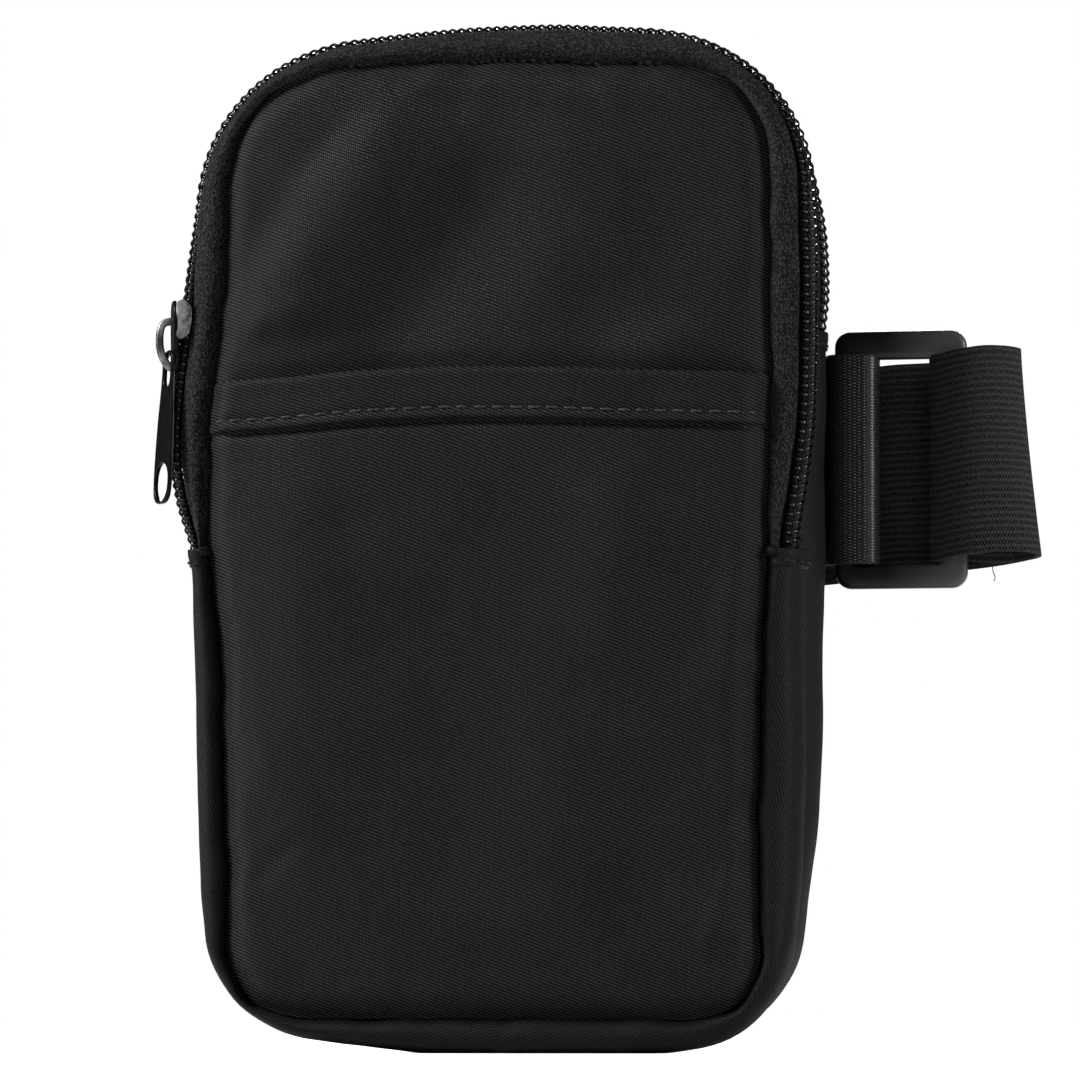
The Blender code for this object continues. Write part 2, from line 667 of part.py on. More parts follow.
def make_webbing_tab(finish):
    """Webbing sewn into the rear side seam and folded round the ring's inner bar."""
    bar = (RING_LEFT + RING_LOOP_BAR / 2, RING_DEPTH)
    radius = RING_THICKNESS / 2 + WEBBING_LOOP_CLEARANCE + WEBBING / 2
    turn = (RING_LEFT + WEBBING_CREST - WEBBING / 2 - radius, RING_DEPTH)
    seam = (HALF_WIDTH, 2 * MID + SEAM_DEPTH)
    lift = WEBBING / 2 + GAP
    outer_leg = [(seam[0] + WEBBING, seam[1] + lift + WEBBING + GAP),
                 (bar[0] - radius * WEBBING_OUTER_SHARE, seam[1] + lift + WEBBING),
                 (bar[0], bar[1] + radius)]
    loop = half_turn(turn, radius, math.pi / 2, -math.pi / 2, FOLD_STEPS)
    inner_leg = [(bar[0], bar[1] - radius)]
    inner_leg += [(bar[0] - radius * s, bar[1] + radius * d) for s, d in WEBBING_INNER_SHARES]
    inner_leg += [(bar[0] - radius * WEBBING_LEAD_SHARE, seam[1]), (seam[0] + WEBBING, seam[1] + lift)]
    return plan_band("webbing_tab", outer_leg + loop + inner_leg, WEBBING, finish)


def strap_levels():
    """Depths of the elastic's layers: in front of the ring bar, behind it, and the back layer."""
    front = RING_DEPTH - RING_THICKNESS / 2 - GAP - ELASTIC / 2
    tail = RING_DEPTH + RING_THICKNESS / 2 + GAP + ELASTIC / 2
    return front, tail, tail + ELASTIC + ELASTIC_LAYER_GAP


def slant_at(x):
    return -math.tan(ELASTIC_SLANT) * max(ELASTIC_FOLD - x, 0.0)


def strap_cut():
    """Where the elastic leaves the pouch's own stretch and swings with the ring."""
    return RING_LEFT + WEBBING_CREST + STRAP_HINGE_GAP / 2


def make_elastic(finish):
    """The elastic strap: behind the pouch, round a fold, and through the ring from the front."""
    front, tail, back = strap_levels()
    panel_back = 2 * MID + SEAM_DEPTH + BACK_CROWN + GAP + ELASTIC / 2
    over_tab = 2 * MID + SEAM_DEPTH + 3 * WEBBING + 3 * GAP + ELASTIC / 2
    reach = HALF_WIDTH - ANCHOR_INSET
    cut = strap_cut()
    depths = (panel_back - BACK_CROWN, panel_back, panel_back, over_tab)
    inner = [(reach * s, depth) for s, depth in zip(ELASTIC_BACK_SHARES, depths)]
    inner.append((cut - STRAP_HINGE_GAP, over_tab))
    plan_band("elastic_strap_back", inner, ELASTIC, finish, lambda i: slant_at(inner[i][0]))
    radius = (back - front) / 2
    fold = (ELASTIC_FOLD - ELASTIC / 2 - radius, (back + front) / 2)
    bar_radius = (tail - front) / 2
    bar = (RING_BAR_MIDDLE - RING_BAR / 2, RING_DEPTH)
    path = [(cut, over_tab), (cut + RING_BAR, over_tab), (RING_BAR_MIDDLE, back + ELASTIC_LAYER_GAP)]
    slanted = len(path) + FOLD_STEPS // 2
    path += half_turn(fold, radius, math.pi / 2, -math.pi / 2, FOLD_STEPS)
    path += half_turn(bar, bar_radius, -math.pi / 2, -3 * math.pi / 2, FOLD_STEPS)
    path.append((RING_BAR_MIDDLE + ELASTIC_TAIL, tail))
    plan_band("elastic_strap_end", path, ELASTIC, finish,
              lambda i: slant_at(path[i][0]) if i < slanted else 0.0)


def make_hook_patch(finish):
    """Hook tape on the strap's free end, facing the elastic's own front layer."""
    front, tail, back = strap_levels()
    y = tail - ELASTIC / 2 - GAP - HOOK_THICKNESS / 2
    start = RING_BAR_MIDDLE + RING_BAR / 2 + HOOK_MARGIN / 2
    path = [(start, y), (start + ELASTIC_TAIL * HOOK_LENGTH_SHARE, y)]
    rings = []
    low = STRAP_TOP - STRAP_WIDTH + HOOK_MARGIN
    high = STRAP_TOP - HOOK_MARGIN
    for x, depth in path:
        a, b = depth - HOOK_THICKNESS / 2, depth + HOOK_THICKNESS / 2
        rings.append([(x, a, low), (x, b, low), (x, b, high), (x, a, high)])
    return add_object("strap_hook_patch", *skin(rings), finish)


def hinge_place(name, location, items):
    """An empty on a joint's axis that carries the pieces which move about it."""
    place_at = bpy.data.objects.new(name, None)
    bpy.context.collection.objects.link(place_at)
    place_at.location = location
    inverse = Matrix.Translation(location).inverted()
    for item in items:
        item.parent = place_at
        item.matrix_parent_inverse = inverse


def build():
    clear_scene()
    twill = material("nylon_twill", (0.016, 0.016, 0.018), 0.62)
    woven = material("zip_tape", (0.020, 0.019, 0.018), 0.85)
    nylon_coil = material("nylon_coil", (0.010, 0.010, 0.012), 0.28)
    metal = material("slider_enamel", (0.060, 0.060, 0.064), 0.38, 0.6)
    gloss = material("puller_gloss", (0.008, 0.008, 0.009), 0.12)
    moulded = material("ring_plastic", (0.014, 0.014, 0.015), 0.34)
    web = material("webbing_nylon", (0.018, 0.018, 0.019), 0.50)
    elastic = material("elastic_knit", (0.017, 0.016, 0.016), 0.90)
    lining = material("lining_cloth", (0.013, 0.013, 0.014), 0.70)
    hook = material("hook_tape", (0.012, 0.012, 0.012), 0.80)

    front = crown(FRONT_CROWN)
    pocket = raised(front, POCKET_CLEARANCE + POCKET_FABRIC)
    facing = raised(pocket, GAP + FACING_THICKNESS)
    fold = HEM_HEIGHT_FRONT
    lower = panel_rows(PANEL_BOTTOM, fold)
    upper = panel_rows(fold + GAP, PANEL_TOP)
    sheet("front_panel_lower", lower, PANEL_COLUMNS, front, FABRIC, -1, twill)
    sheet("pocket_panel_lower", lower, PANEL_COLUMNS, pocket, POCKET_FABRIC, -1, twill, POCKET_SIDE_INSET)
    pocket_top = POCKET_MOUTH - GAP
    flap = [
        sheet("front_panel_upper", upper, PANEL_COLUMNS, front, FABRIC, -1, twill),
        sheet("pocket_panel_upper", panel_rows(fold + GAP, pocket_top), PANEL_COLUMNS, pocket,
              POCKET_FABRIC, -1, twill, POCKET_SIDE_INSET),
        sheet("pocket_facing", panel_rows(POCKET_MOUTH - POCKET_FACING, POCKET_MOUTH), PANEL_COLUMNS, facing,
              FACING_THICKNESS, -1, twill, POCKET_SIDE_INSET),
    ]
    front_slider_height = HEM_HEIGHT_FRONT + FRONT_SLIDER_ABOVE_HEM
    rear_slider_height = HEM_HEIGHT_REAR + REAR_SLIDER_ABOVE_HEM
    flap += make_zip("front", HEM_HEIGHT_FRONT, front_slider_height, -1, woven, nylon_coil)
    make_side_band("front", HEM_HEIGHT_FRONT, -1, twill)
    make_divider(lining)
    make_side_band("rear", HEM_HEIGHT_REAR, 1, twill)
    back = crown(BACK_CROWN)
    back_fold = HEM_HEIGHT_REAR
    sheet("back_panel_lower", panel_rows(PANEL_BOTTOM, back_fold), PANEL_COLUMNS, back, FABRIC, 1, twill)
    rear_flap = [sheet("back_panel_upper", panel_rows(back_fold + GAP, PANEL_TOP), PANEL_COLUMNS, back,
                       FABRIC, 1, twill)]
    rear_flap += make_zip("rear", HEM_HEIGHT_REAR, rear_slider_height, 1, woven, nylon_coil)
    make_slider("front", front_slider_height, -1, metal, gloss)
    make_slider("rear", rear_slider_height, 1, metal, gloss)
    make_webbing_tab(web)
    ring = make_ring(moulded)
    make_elastic(elastic)
    patch = make_hook_patch(hook)
    front_axis = FRONT_SEAM - FRONT_CROWN - POCKET_CLEARANCE - POCKET_FABRIC
    rear_axis = 2 * MID + SEAM_DEPTH + BACK_CROWN
    hinge_place("front_flap_fold", (0.0, front_axis, HEM_HEIGHT_FRONT), flap)
    hinge_place("rear_flap_fold", (0.0, rear_axis, HEM_HEIGHT_REAR), rear_flap)
    swing = (RING_LEFT + RING_LOOP_BAR / 2, RING_DEPTH, STRAP_TOP - STRAP_WIDTH / 2)
    hinge_place("ring_swing_axis", swing, [ring, patch, bpy.data.objects["elastic_strap_end"]])


build()
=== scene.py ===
import math
from functools import partial

import bpy
import numpy as np
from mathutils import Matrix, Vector, noise


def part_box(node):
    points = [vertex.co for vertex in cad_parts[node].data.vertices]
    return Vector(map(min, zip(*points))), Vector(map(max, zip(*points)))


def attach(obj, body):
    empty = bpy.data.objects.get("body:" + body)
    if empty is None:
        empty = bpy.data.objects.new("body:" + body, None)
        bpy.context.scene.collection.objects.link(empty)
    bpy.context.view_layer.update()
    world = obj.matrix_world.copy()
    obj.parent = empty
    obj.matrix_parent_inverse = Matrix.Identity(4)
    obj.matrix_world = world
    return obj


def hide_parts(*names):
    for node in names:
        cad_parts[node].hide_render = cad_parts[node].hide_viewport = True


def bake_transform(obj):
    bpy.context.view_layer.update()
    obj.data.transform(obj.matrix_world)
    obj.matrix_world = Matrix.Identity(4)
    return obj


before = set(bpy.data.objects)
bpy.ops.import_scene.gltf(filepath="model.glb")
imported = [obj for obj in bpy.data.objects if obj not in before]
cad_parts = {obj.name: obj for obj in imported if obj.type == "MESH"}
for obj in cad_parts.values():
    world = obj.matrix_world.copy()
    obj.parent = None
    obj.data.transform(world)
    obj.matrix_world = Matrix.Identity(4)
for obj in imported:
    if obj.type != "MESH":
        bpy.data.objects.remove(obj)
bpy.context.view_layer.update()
print("stage: frame loaded")

mm = 0.001      # shapes are worked out in millimetres, and Blender takes metres


def addObject(name, data):
    made = bpy.data.objects.new(name, data)
    bpy.context.collection.objects.link(made)
    return made


def aim(made, where, ahead):
    made.location = where
    made.rotation_mode = "QUATERNION"
    made.rotation_quaternion = ahead.to_track_quat("-Z", "Y")


# camera and picture, from the front, a little to the right and low down
cameraSet = {
    "azimuth": 11.0, "elevation": -4.0,     # degrees
    "distance": 1.25, "pictureWidth": 0.1966,       # metres, the width across the picture at the pouch
    "aim": (0.00703, 0.0, 0.0932), "sensor": 36.0, "clipStart": 0.01,
}


def placeCamera(values):
    a, e = math.radians(values["azimuth"]), math.radians(values["elevation"])
    back = Vector((math.sin(a) * math.cos(e), -math.cos(a) * math.cos(e), math.sin(e)))
    lens = bpy.data.cameras.new("pouchCamera")
    lens.sensor_width = values["sensor"]
    lens.lens = values["sensor"] * values["distance"] / values["pictureWidth"]
    lens.clip_start = values["clipStart"]
    made = addObject("pouchCamera", lens)
    aim(made, Vector(values["aim"]) + back * values["distance"], -back)
    bpy.context.scene.camera = made
    bpy.context.scene.view_settings.view_transform = "Standard"


placeCamera(cameraSet)
print("stage: camera placed")


# an sRGB hex colour as the linear colour that a shader takes
def linear(hexText):
    found = []
    for i in (1, 3, 5):
        c = int(hexText[i:i + 2], 16) / 255
        found.append(c / 12.92 if c <= 0.04045 else ((c + 0.055) / 1.055) ** 2.4)
    return (*found, 1.0)


# adds a node from its settings, by attribute or socket name, and what is linked to its sockets,
# and gives one of its outputs
def addNode(tree, kind, settings, links=None, out=0):
    made = tree.nodes.new("ShaderNode" + kind)
    for key, value in settings.items():
        if key == "stops":
            for stop, (place, colour) in zip(made.color_ramp.elements, value):
                stop.position = place
                stop.color = linear(colour)
        elif isinstance(key, str) and hasattr(made, key):
            setattr(made, key, value)
        else:
            made.inputs[key].default_value = linear(value) if isinstance(value, str) else value
    for key, source in (links or {}).items():
        tree.links.new(source, made.inputs[key])
    return made.outputs[out]


# a new material with its shader's settings, and what adds nodes to it
def startMaterial(name, settings):
    made = bpy.data.materials.new(name)
    made.use_nodes = True
    shader = made.node_tree.nodes["Principled BSDF"]
    for key, value in settings.items():
        shader.inputs[key].default_value = linear(value) if isinstance(value, str) else value
    return made, partial(addNode, made.node_tree)


def linkShader(made, links):
    shader = made.node_tree.nodes["Principled BSDF"]
    for key, source in links.items():
        made.node_tree.links.new(source, shader.inputs[key])
    return made


waveRepeat = 0.31416        # metres between the bands of a wave texture of scale 1


# nylon twill, woven from filament yarn: slanted ribs of short glossy floats, with painted shade in the gaps
# between;
# a noise scale is written as how many of its grains lie along a millimetre
def twillCloth(name, values):
    made, add = startMaterial(name, {
        "IOR": 1.53, "Specular IOR Level": values["gloss"], "Sheen Weight": values["sheen"],
        "Sheen Roughness": 0.35, "Sheen Tint": "#b9bcc4"})
    cloth = add("Attribute", {"attribute_name": "clothPlace"}, out="Vector")
    turned = add("Mapping", {"Rotation": (0, 0, math.radians(values["angle"]))}, {"Vector": cloth})
    ribs = add("TexWave", {
        "bands_direction": "Y", "Scale": waveRepeat / values["ribPitch"], "Distortion": 1.0, "Detail": 2.0,
        "Detail Scale": 0.45}, {"Vector": turned}, "Fac")
    yarns = add("TexWave", {
        "bands_direction": "X", "Scale": waveRepeat / values["yarnPitch"], "Distortion": 1.2, "Detail": 1.0,
        "Detail Scale": 0.6}, {"Vector": cloth}, "Fac")
    # painted shade: the gaps between the ribs are drawn as dark lines in the colour; the yarns only notch the
    # ribs
    ribTop = add("MapRange", {"From Min": 0.12, "From Max": 0.80}, {"Value": ribs})
    yarnTop = add("MapRange", {"To Min": 0.50}, {"Value": yarns})
    weave = add("Math", {"operation": "MULTIPLY"}, {0: ribTop, 1: yarnTop})
    # floats differ a little from one to the next
    uneven = add("TexNoise", {"Scale": 1.5 / mm, "Detail": 1.0, "Roughness": 0.5}, {"Vector": cloth})
    floats = add("MapRange", {"From Min": 0.3, "From Max": 0.7, "To Min": 0.72, "To Max": 1.2},
                 {"Value": uneven})
    lit = add("Math", {"operation": "MULTIPLY"}, {0: weave, 1: floats})
    # the colour runs from the painted shade of the gaps to the rib's own colour
    tone = add("ValToRGB", {"stops": [(0.05, values["valley"]), (0.95, values["rib"])]}, {"Fac": lit})
    cloudy = add("TexNoise", {"Scale": 0.055 / mm, "Detail": 4.0, "Roughness": 0.6}, {"Vector": cloth})
    patch = add("MapRange", {"From Min": 0.3, "From Max": 0.7, "To Min": 0.84, "To Max": 1.12},
                {"Value": cloudy})
    worn = add("MixRGB", {"blend_type": "MULTIPLY", "Fac": 1.0}, {"Color1": tone, "Color2": patch})
    # stray lint, a few pale specks under a millimetre across
    fluff = add("TexVoronoi", {"Scale": 0.062 / mm, "Randomness": 1.0}, {"Vector": cloth})
    speck = add("Math", {"operation": "LESS_THAN", 1: 0.012}, {0: fluff})
    sparse = add("SeparateColor", {}, {"Color": fluff.node.outputs["Color"]})
    chosen = add("Math", {"operation": "GREATER_THAN", 1: 0.88}, {0: sparse})
    both = add("Math", {"operation": "MULTIPLY"}, {0: speck, 1: chosen})
    dusted = add("MixRGB", {"blend_type": "MIX", "Color2": "#5c5c5e"}, {"Fac": both, "Color1": worn})
    rough = add("MapRange", {"To Min": 0.65, "To Max": 0.38}, {"Value": lit})
    bump = add("Bump", {"Strength": 0.9, "Distance": values["relief"]}, {"Height": lit})
    return linkShader(made, {"Base Color": dusted, "Roughness": rough, "Normal": bump})


# woven polyester zip tape: dull, its weft floats make a fine grain of short dashes along the tape
def zipTapeCloth(values):
    made, add = startMaterial("wovenPolyesterTape", {
        "Roughness": 0.86, "IOR": 1.5, "Specular IOR Level": 0.12, "Sheen Weight": 0.07,
        "Sheen Roughness": 0.6, "Sheen Tint": "#aeaeae"})
    cloth = add("Attribute", {"attribute_name": "clothPlace"}, out="Vector")
    stretched = add("Mapping", {"Scale": (0.55, 1.0, 1.0), "Rotation": (0, 0, 0.35)}, {"Vector": cloth})
    dashes = add("TexVoronoi", {"Scale": 1 / values["grain"], "Randomness": 0.6}, {"Vector": stretched})
    rows = add("TexWave", {"bands_direction": "Y", "Scale": waveRepeat / (1.1 * values["grain"]),
                           "Distortion": 3.5, "Detail": 2.0, "Detail Scale": 1.2}, {"Vector": cloth}, "Fac")
    threads = add("TexNoise", {"Scale": 2.2 / values["grain"], "Detail": 1.0}, {"Vector": cloth})
    grain = add("Math", {"operation": "MULTIPLY_ADD", 1: 0.9}, {0: threads, 2: dashes})
    woven = add("Math", {"operation": "MULTIPLY_ADD", 1: -0.22}, {0: rows, 2: grain})
    tone = add("ValToRGB", {"stops": [(0.42, values["light"]), (0.86, values["dark"])]}, {"Fac": woven})
    bump = add("Bump", {"Strength": 0.8, "Distance": 0.16 * mm, "invert": True}, {"Height": woven})
    return linkShader(made, {"Base Color": tone, "Normal": bump})


# fibres: nylon drawn into a smooth glossy wire with faint marks, or polyester spun into dull thread
def fibreFinish(name, settings, values):
    made, add = startMaterial(name, settings)
    place = add("TexCoord", {}, out="Object")
    marks = add("TexNoise", {"Scale": values["marks"], "Detail": 2.0}, {"Vector": place})
    tone = add("ValToRGB", {"stops": [(0.3, values["dark"]), (values["lightFrom"], values["light"])]},
               {"Fac": marks})
    bump = add("Bump", {"Strength": values["strength"], "Distance": values["relief"]}, {"Height": marks})
    return linkShader(made, {"Base Color": tone, "Normal": bump})


def sewingThread(name, light, dark):
    looks = {"Roughness": 0.58, "IOR": 1.5, "Specular IOR Level": 0.25, "Sheen Weight": 0.05,
             "Sheen Roughness": 0.5}
    return fibreFinish(name, looks, {
        "marks": 2.6 / mm, "dark": dark, "light": light, "lightFrom": 0.7, "strength": 0.6,
        "relief": 0.06 * mm})


# die-cast zinc under stoved enamel: smooth, with a slight orange peel and flow marks of the casting
def enamelledZinc(name, values):
    made, add = startMaterial(name, {
        "Metallic": values["metallic"], "Specular IOR Level": values["gloss"], "Coat Weight": values["coat"],
        "Coat Roughness": 0.08})
    place = add("TexCoord", {}, out="Object")
    peel = add("TexNoise", {"Scale": 0.7 / mm, "Detail": 3.0}, {"Vector": place})
    cast = add("TexNoise", {"Scale": 0.42 / mm, "Detail": 4.0}, {"Vector": place})
    tone = add("ValToRGB", {"stops": [(0.38, values["dark"]), (0.62, values["light"])]}, {"Fac": cast})
    rough = add("MapRange", {"To Min": values["roughness"] * 0.8, "To Max": values["roughness"] * 1.25},
                {"Value": cast})
    bump = add("Bump", {"Strength": 0.3, "Distance": 0.03 * mm}, {"Height": peel})
    return linkShader(made, {"Base Color": tone, "Roughness": rough, "Normal": bump})


# moulded acetal: black with a fine spark-eroded grain, with painted glare that makes it paler towards the
# turn of the strap
def mouldedAcetal():
    made, add = startMaterial("mouldedAcetal", {"Roughness": 0.33, "IOR": 1.48, "Specular IOR Level": 0.5})
    place = add("TexCoord", {}, out="Object")
    grain = add("TexNoise", {"Scale": 1.5 / mm, "Detail": 3.0}, {"Vector": place})
    across = add("SeparateXYZ", {}, {"Vector": place})
    # painted reflection: the colour grows paler across from 67 to 80 mm, towards the turn of the strap,
    # broken up by the grain
    turn = add("MapRange", {"From Min": 67 * mm, "From Max": 80 * mm}, {"Value": across})
    spread = add("MapRange", {"To Min": 0.7, "To Max": 1.0}, {"Value": grain})
    paintedGlare = add("Math", {"operation": "MULTIPLY"}, {0: turn, 1: spread})
    tone = add("ValToRGB", {"stops": [(0.05, "#060607"), (0.95, "#545558")]}, {"Fac": paintedGlare})
    rough = add("MapRange", {"To Min": 0.22, "To Max": 0.40}, {"Value": grain})
    bump = add("Bump", {"Strength": 0.2, "Distance": 0.02 * mm}, {"Height": grain})
    return linkShader(made, {"Base Color": tone, "Roughness": rough, "Normal": bump})


# narrow woven goods: cords along the strap, weft threads across, and where both cross a staggered
# grid of raised floats
def narrowWeave(name, values):
    made, add = startMaterial(name, {
        "Roughness": values["roughness"], "IOR": 1.53, "Specular IOR Level": values["gloss"],
        "Sheen Weight": values["sheen"], "Sheen Roughness": 0.5, "Sheen Tint": "#b6b6ba"})
    cloth = add("Attribute", {"attribute_name": "clothPlace"}, out="Vector")
    cords, weft = [add("TexWave", {"bands_direction": way, "Scale": waveRepeat / values[pitch],
                                   "Distortion": values["wander"], "Detail": 1.0, "Detail Scale": detail},
                       {"Vector": cloth}, "Fac")
                   for way, pitch, detail in (("Y", "cordPitch", 0.4), ("X", "weftPitch", 0.8))]
    cordSign, weftSign = [add("Math", {"operation": "MULTIPLY_ADD", 1: 2.0, 2: -1.0}, {0: wave})
                          for wave in (cords, weft)]
    crossing = add("Math", {"operation": "MULTIPLY"}, {0: cordSign, 1: weftSign})
    floats = add("MapRange", {"From Min": -0.1, "From Max": 0.7, "To Max": values["floats"]},
                 {"Value": crossing})
    fuzz = add("TexNoise", {"Scale": 1.8 / mm, "Detail": 3.0}, {"Vector": cloth})
    weave = add("Math", {"operation": "MULTIPLY_ADD", 1: values["cords"]}, {0: cords, 2: floats})
    hairy = add("Math", {"operation": "MULTIPLY_ADD", 1: values["fuzz"]}, {0: fuzz, 2: weave})
    tone = add("ValToRGB", {"stops": [(values["darkUntil"], values["dark"]),
                                      (values["lightFrom"], values["light"])]}, {"Fac": hairy})
    bump = add("Bump", {"Strength": 0.85, "Distance": values["relief"]}, {"Height": hairy})
    return linkShader(made, {"Base Color": tone, "Normal": bump})


# the real warp is 0.37 mm apart, drawn 0.42 mm apart so that it shows in the picture
# valley is the painted shade in the gaps between ribs, rib the yarn's own colour
faceTwill = twillCloth("nylonTwillFace", {
    "angle": 21.0, "ribPitch": 0.56 * mm, "yarnPitch": 0.42 * mm, "relief": 0.12 * mm,
    "gloss": 0.12, "sheen": 0.015, "valley": "#000000", "rib": "#333334"})
sideTwill = twillCloth("nylonTwillSide", {
    "angle": -20.0, "ribPitch": 0.56 * mm, "yarnPitch": 0.42 * mm, "relief": 0.07 * mm,
    "gloss": 0.12, "sheen": 0.02, "valley": "#080808", "rib": "#202021"})
liningCloth = twillCloth("nylonLining", {
    "angle": 0.0, "ribPitch": 0.5 * mm, "yarnPitch": 0.5 * mm, "relief": 0.05 * mm,
    "gloss": 0.2, "sheen": 0.03, "valley": "#0b0b0c", "rib": "#1f1f21"})
zipTape = zipTapeCloth({"grain": 0.31 * mm, "light": "#484848", "dark": "#0a0a0a"})
coilFinish = fibreFinish("drawnNylonFilament", {"Roughness": 0.13, "IOR": 1.53, "Specular IOR Level": 0.6}, {
    "marks": 0.9 / mm, "dark": "#020203", "light": "#050507", "lightFrom": 0.8, "strength": 0.25,
    "relief": 0.03 * mm})
coilThread = sewingThread("chainStitchThread", "#17171a", "#050506")
seamThread = sewingThread("seamThread", "#1f1f20", "#080808")
topThread = sewingThread("topstitchThread", "#48484a", "#101011")
sliderFinish = enamelledZinc("satinEnamelledZinc", {
    "roughness": 0.45, "metallic": 0.80, "gloss": 0.5, "coat": 0.0, "dark": "#4c4c4e", "light": "#b4b4b7"})
pullerFinish = enamelledZinc("glossEnamelledZinc", {
    "roughness": 0.26, "metallic": 0.0, "gloss": 0.14, "coat": 0.03, "dark": "#040405", "light": "#08080a"})
ringFinish = mouldedAcetal()
webbingFinish = narrowWeave("nylonWebbing", {
    "roughness": 0.34, "gloss": 0.45, "sheen": 0.02, "cordPitch": 1.68 * mm, "weftPitch": 0.54 * mm,
    "wander": 0.2, "cords": 0.0, "floats": 0.9, "fuzz": 0.15, "darkUntil": 0.3, "lightFrom": 1.0,
    "relief": 0.22 * mm, "dark": "#020202", "light": "#363638"})
elasticFinish = narrowWeave("knittedElastic", {
    "roughness": 0.85, "gloss": 0.14, "sheen": 0.05, "cordPitch": 1.2 * mm, "weftPitch": 0.5 * mm,
    "wander": 0.9, "cords": 0.30, "floats": 0.42, "fuzz": 0.75, "darkUntil": 0.35, "lightFrom": 1.15,
    "relief": 0.22 * mm, "dark": "#040404", "light": "#454544"})
hookFinish = narrowWeave("hookTape", {
    "roughness": 0.6, "gloss": 0.2, "sheen": 0.05, "cordPitch": 1.4 * mm, "weftPitch": 1.4 * mm,
    "wander": 0.2, "cords": 0.2, "floats": 0.7, "fuzz": 0.3, "darkUntil": 0.15, "lightFrom": 1.0,
    "relief": 0.5 * mm, "dark": "#060606", "light": "#1b1b1b"})
print("stage: materials made")


# the pouch's outline at its seams and how its two lobes stand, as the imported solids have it;
# the tables give millimetres by distance along the outline from the middle of the top, the right
# side positive
pouch = {
    "halfWidth": 50.25, "bottom": 6.3, "top": 180.5, "topRadius": 24.0, "bottomRadius": 15.5,
    "seamDepth": 6.8, "middle": 8.5,        # front seam, and the wall between the lobes
    "valley": 4.0, "frontHem": 91.9, "rearHem": 131.8,
    "step": 1.6, "cornerTurns": 18,         # between stations along a side, and steps in a corner
    # how far the front seam stands outside the outline
    "frontSeam": [
        (-226, 0), (-217, 0.3), (-210, 0.9), (-203, 0.2), (-196, -0.3), (-180, 0.3), (-155, 1.1),
        (-140, 1.9), (-128, 4.1), (-105, 3.6), (-95, 2.9), (-88, 2.0), (-76, 0.8), (-68, 0.4), (-60, 1.0),
        (-52, 1.1), (-45, 1.7), (-38, 0.5), (-28, -0.2), (-19, 0.6), (-9, 0.3), (2, 0.3), (12, 0.0),
        (20, -0.8), (26, -1.0), (30, -0.6), (36, 0.2), (41, 1.4), (45, 2.2), (50, 2.2), (55, 1.2),
        (60, 0.1), (65, -0.1), (70, 0.3), (83, 0.1), (93, 0.3), (105, 0.2), (128, -0.4), (150, -1.6),
        (173, -2.4), (183, -2.3), (192, -2.4), (199, -2.2), (204, -1.5), (208, -0.3), (212, 0.9),
        (217, 0.5), (226, 0)],
    # how far the valley between the lobes is drawn in, over the top and at the bottom corners
    "valleyTuck": [
        (-242, 0), (-232, 1.2), (-223, 2.3), (-217, 2.8), (-209, 3.2), (-199, 2.8), (-190, 1.8),
        (-178, 0.8), (-150, 0.2), (-70, 0), (-55, 1.3), (-45, 2.0), (-28, 1.9), (-10, 0.9), (10, 0.2),
        (26, 0.8), (45, 1.8), (57, 1.8), (68, 0), (125, 0), (140, 0.9), (178, 1.0), (190, 1.9), (199, 2.8),
        (209, 3.2), (217, 2.8), (223, 2.3), (232, 1.2), (242, 0)],
}


# stations along the outline, over the top or round the bottom, from one side's height to the
# other's: x, z, outward x, outward z
def outlineStations(height, over, step=pouch["step"]):
    w, turns = pouch["halfWidth"], pouch["cornerTurns"]
    r = pouch["topRadius"] if over else pouch["bottomRadius"]
    level = pouch["top"] - r if over else pouch["bottom"] + r
    side, rise = (-1, 1) if over else (1, -1)
    count = max(int(abs(level - height) / step), 2)
    half = [(side * w, height + (level - height) * i / count, side, 0.0) for i in range(count)]
    for i in range(turns + 1):
        a = math.pi / 2 * i / turns
        nx, nz = side * math.cos(a), rise * math.sin(a)
        half.append((side * (w - r) + r * nx, level + r * nz, nx, nz))
    across = int(2 * (w - r) / step)
    flat = [(side * (w - r) * (1 - 2 * i / across), level + r * rise, 0.0, rise) for i in range(1, across)]
    return np.array(half + flat + [(-x, z, -nx, nz) for x, z, nx, nz in half[::-1]])


# distance along a line of points, from its start
def lengthAlong(points):
    return np.concatenate([[0.0], np.cumsum(np.linalg.norm(np.diff(points, axis=0), axis=1))])


# millimetres along the outline from the middle of the top to each station
def fromTop(stations):
    w, r, top, rb = (pouch[k] for k in ("halfWidth", "topRadius", "top", "bottomRadius"))
    x, z, nx, nz = stations.T
    corner = w - r + r * np.arctan2(np.abs(nx), np.maximum(nz, 0.0))
    side = w - r + r * math.pi / 2 + top - r
    far = np.where(nz >= 1 - 1e-9, np.abs(x), np.where(nz > 1e-9, corner, side - z))
    under = side - pouch["bottom"] - rb + rb * np.arctan2(np.maximum(-nz, 0), np.abs(nx))
    far = np.where(nz < -1e-9, under + np.where(nz <= -1 + 1e-9, w - rb - np.abs(x), 0.0), far)
    return np.sign(x) * far


def lookUp(table, at):
    return np.interp(at, *zip(*table))


# a value read from a table by distance from the top, its corners rounded off
def alongTable(table, far):
    return np.mean([lookUp(table, far + k) for k in (-3.5, -2, -0.7, 0.7, 2, 3.5)], axis=0)


# only the front lobe's seam leaves the outline; lobe -1 is the front one and 1 the rear one
def seamShift(stations, lobe):
    if lobe > 0:
        return np.zeros(len(stations))
    far = fromTop(stations)
    ripple = 0.13 * np.sin(far / 2.9) + 0.12 * np.sin(far / 1.7 + 1.0) + 0.10 * np.sin(far / 5.3 + 2.0)
    return alongTable(pouch["frontSeam"], far) + ripple


def smoothStep(x, low, high):
    t = np.clip((x - low) / (high - low), 0, 1)
    return t * t * (3 - 2 * t)


def bell(x, middle, width):
    return np.exp(-((x - middle) / width) ** 2)


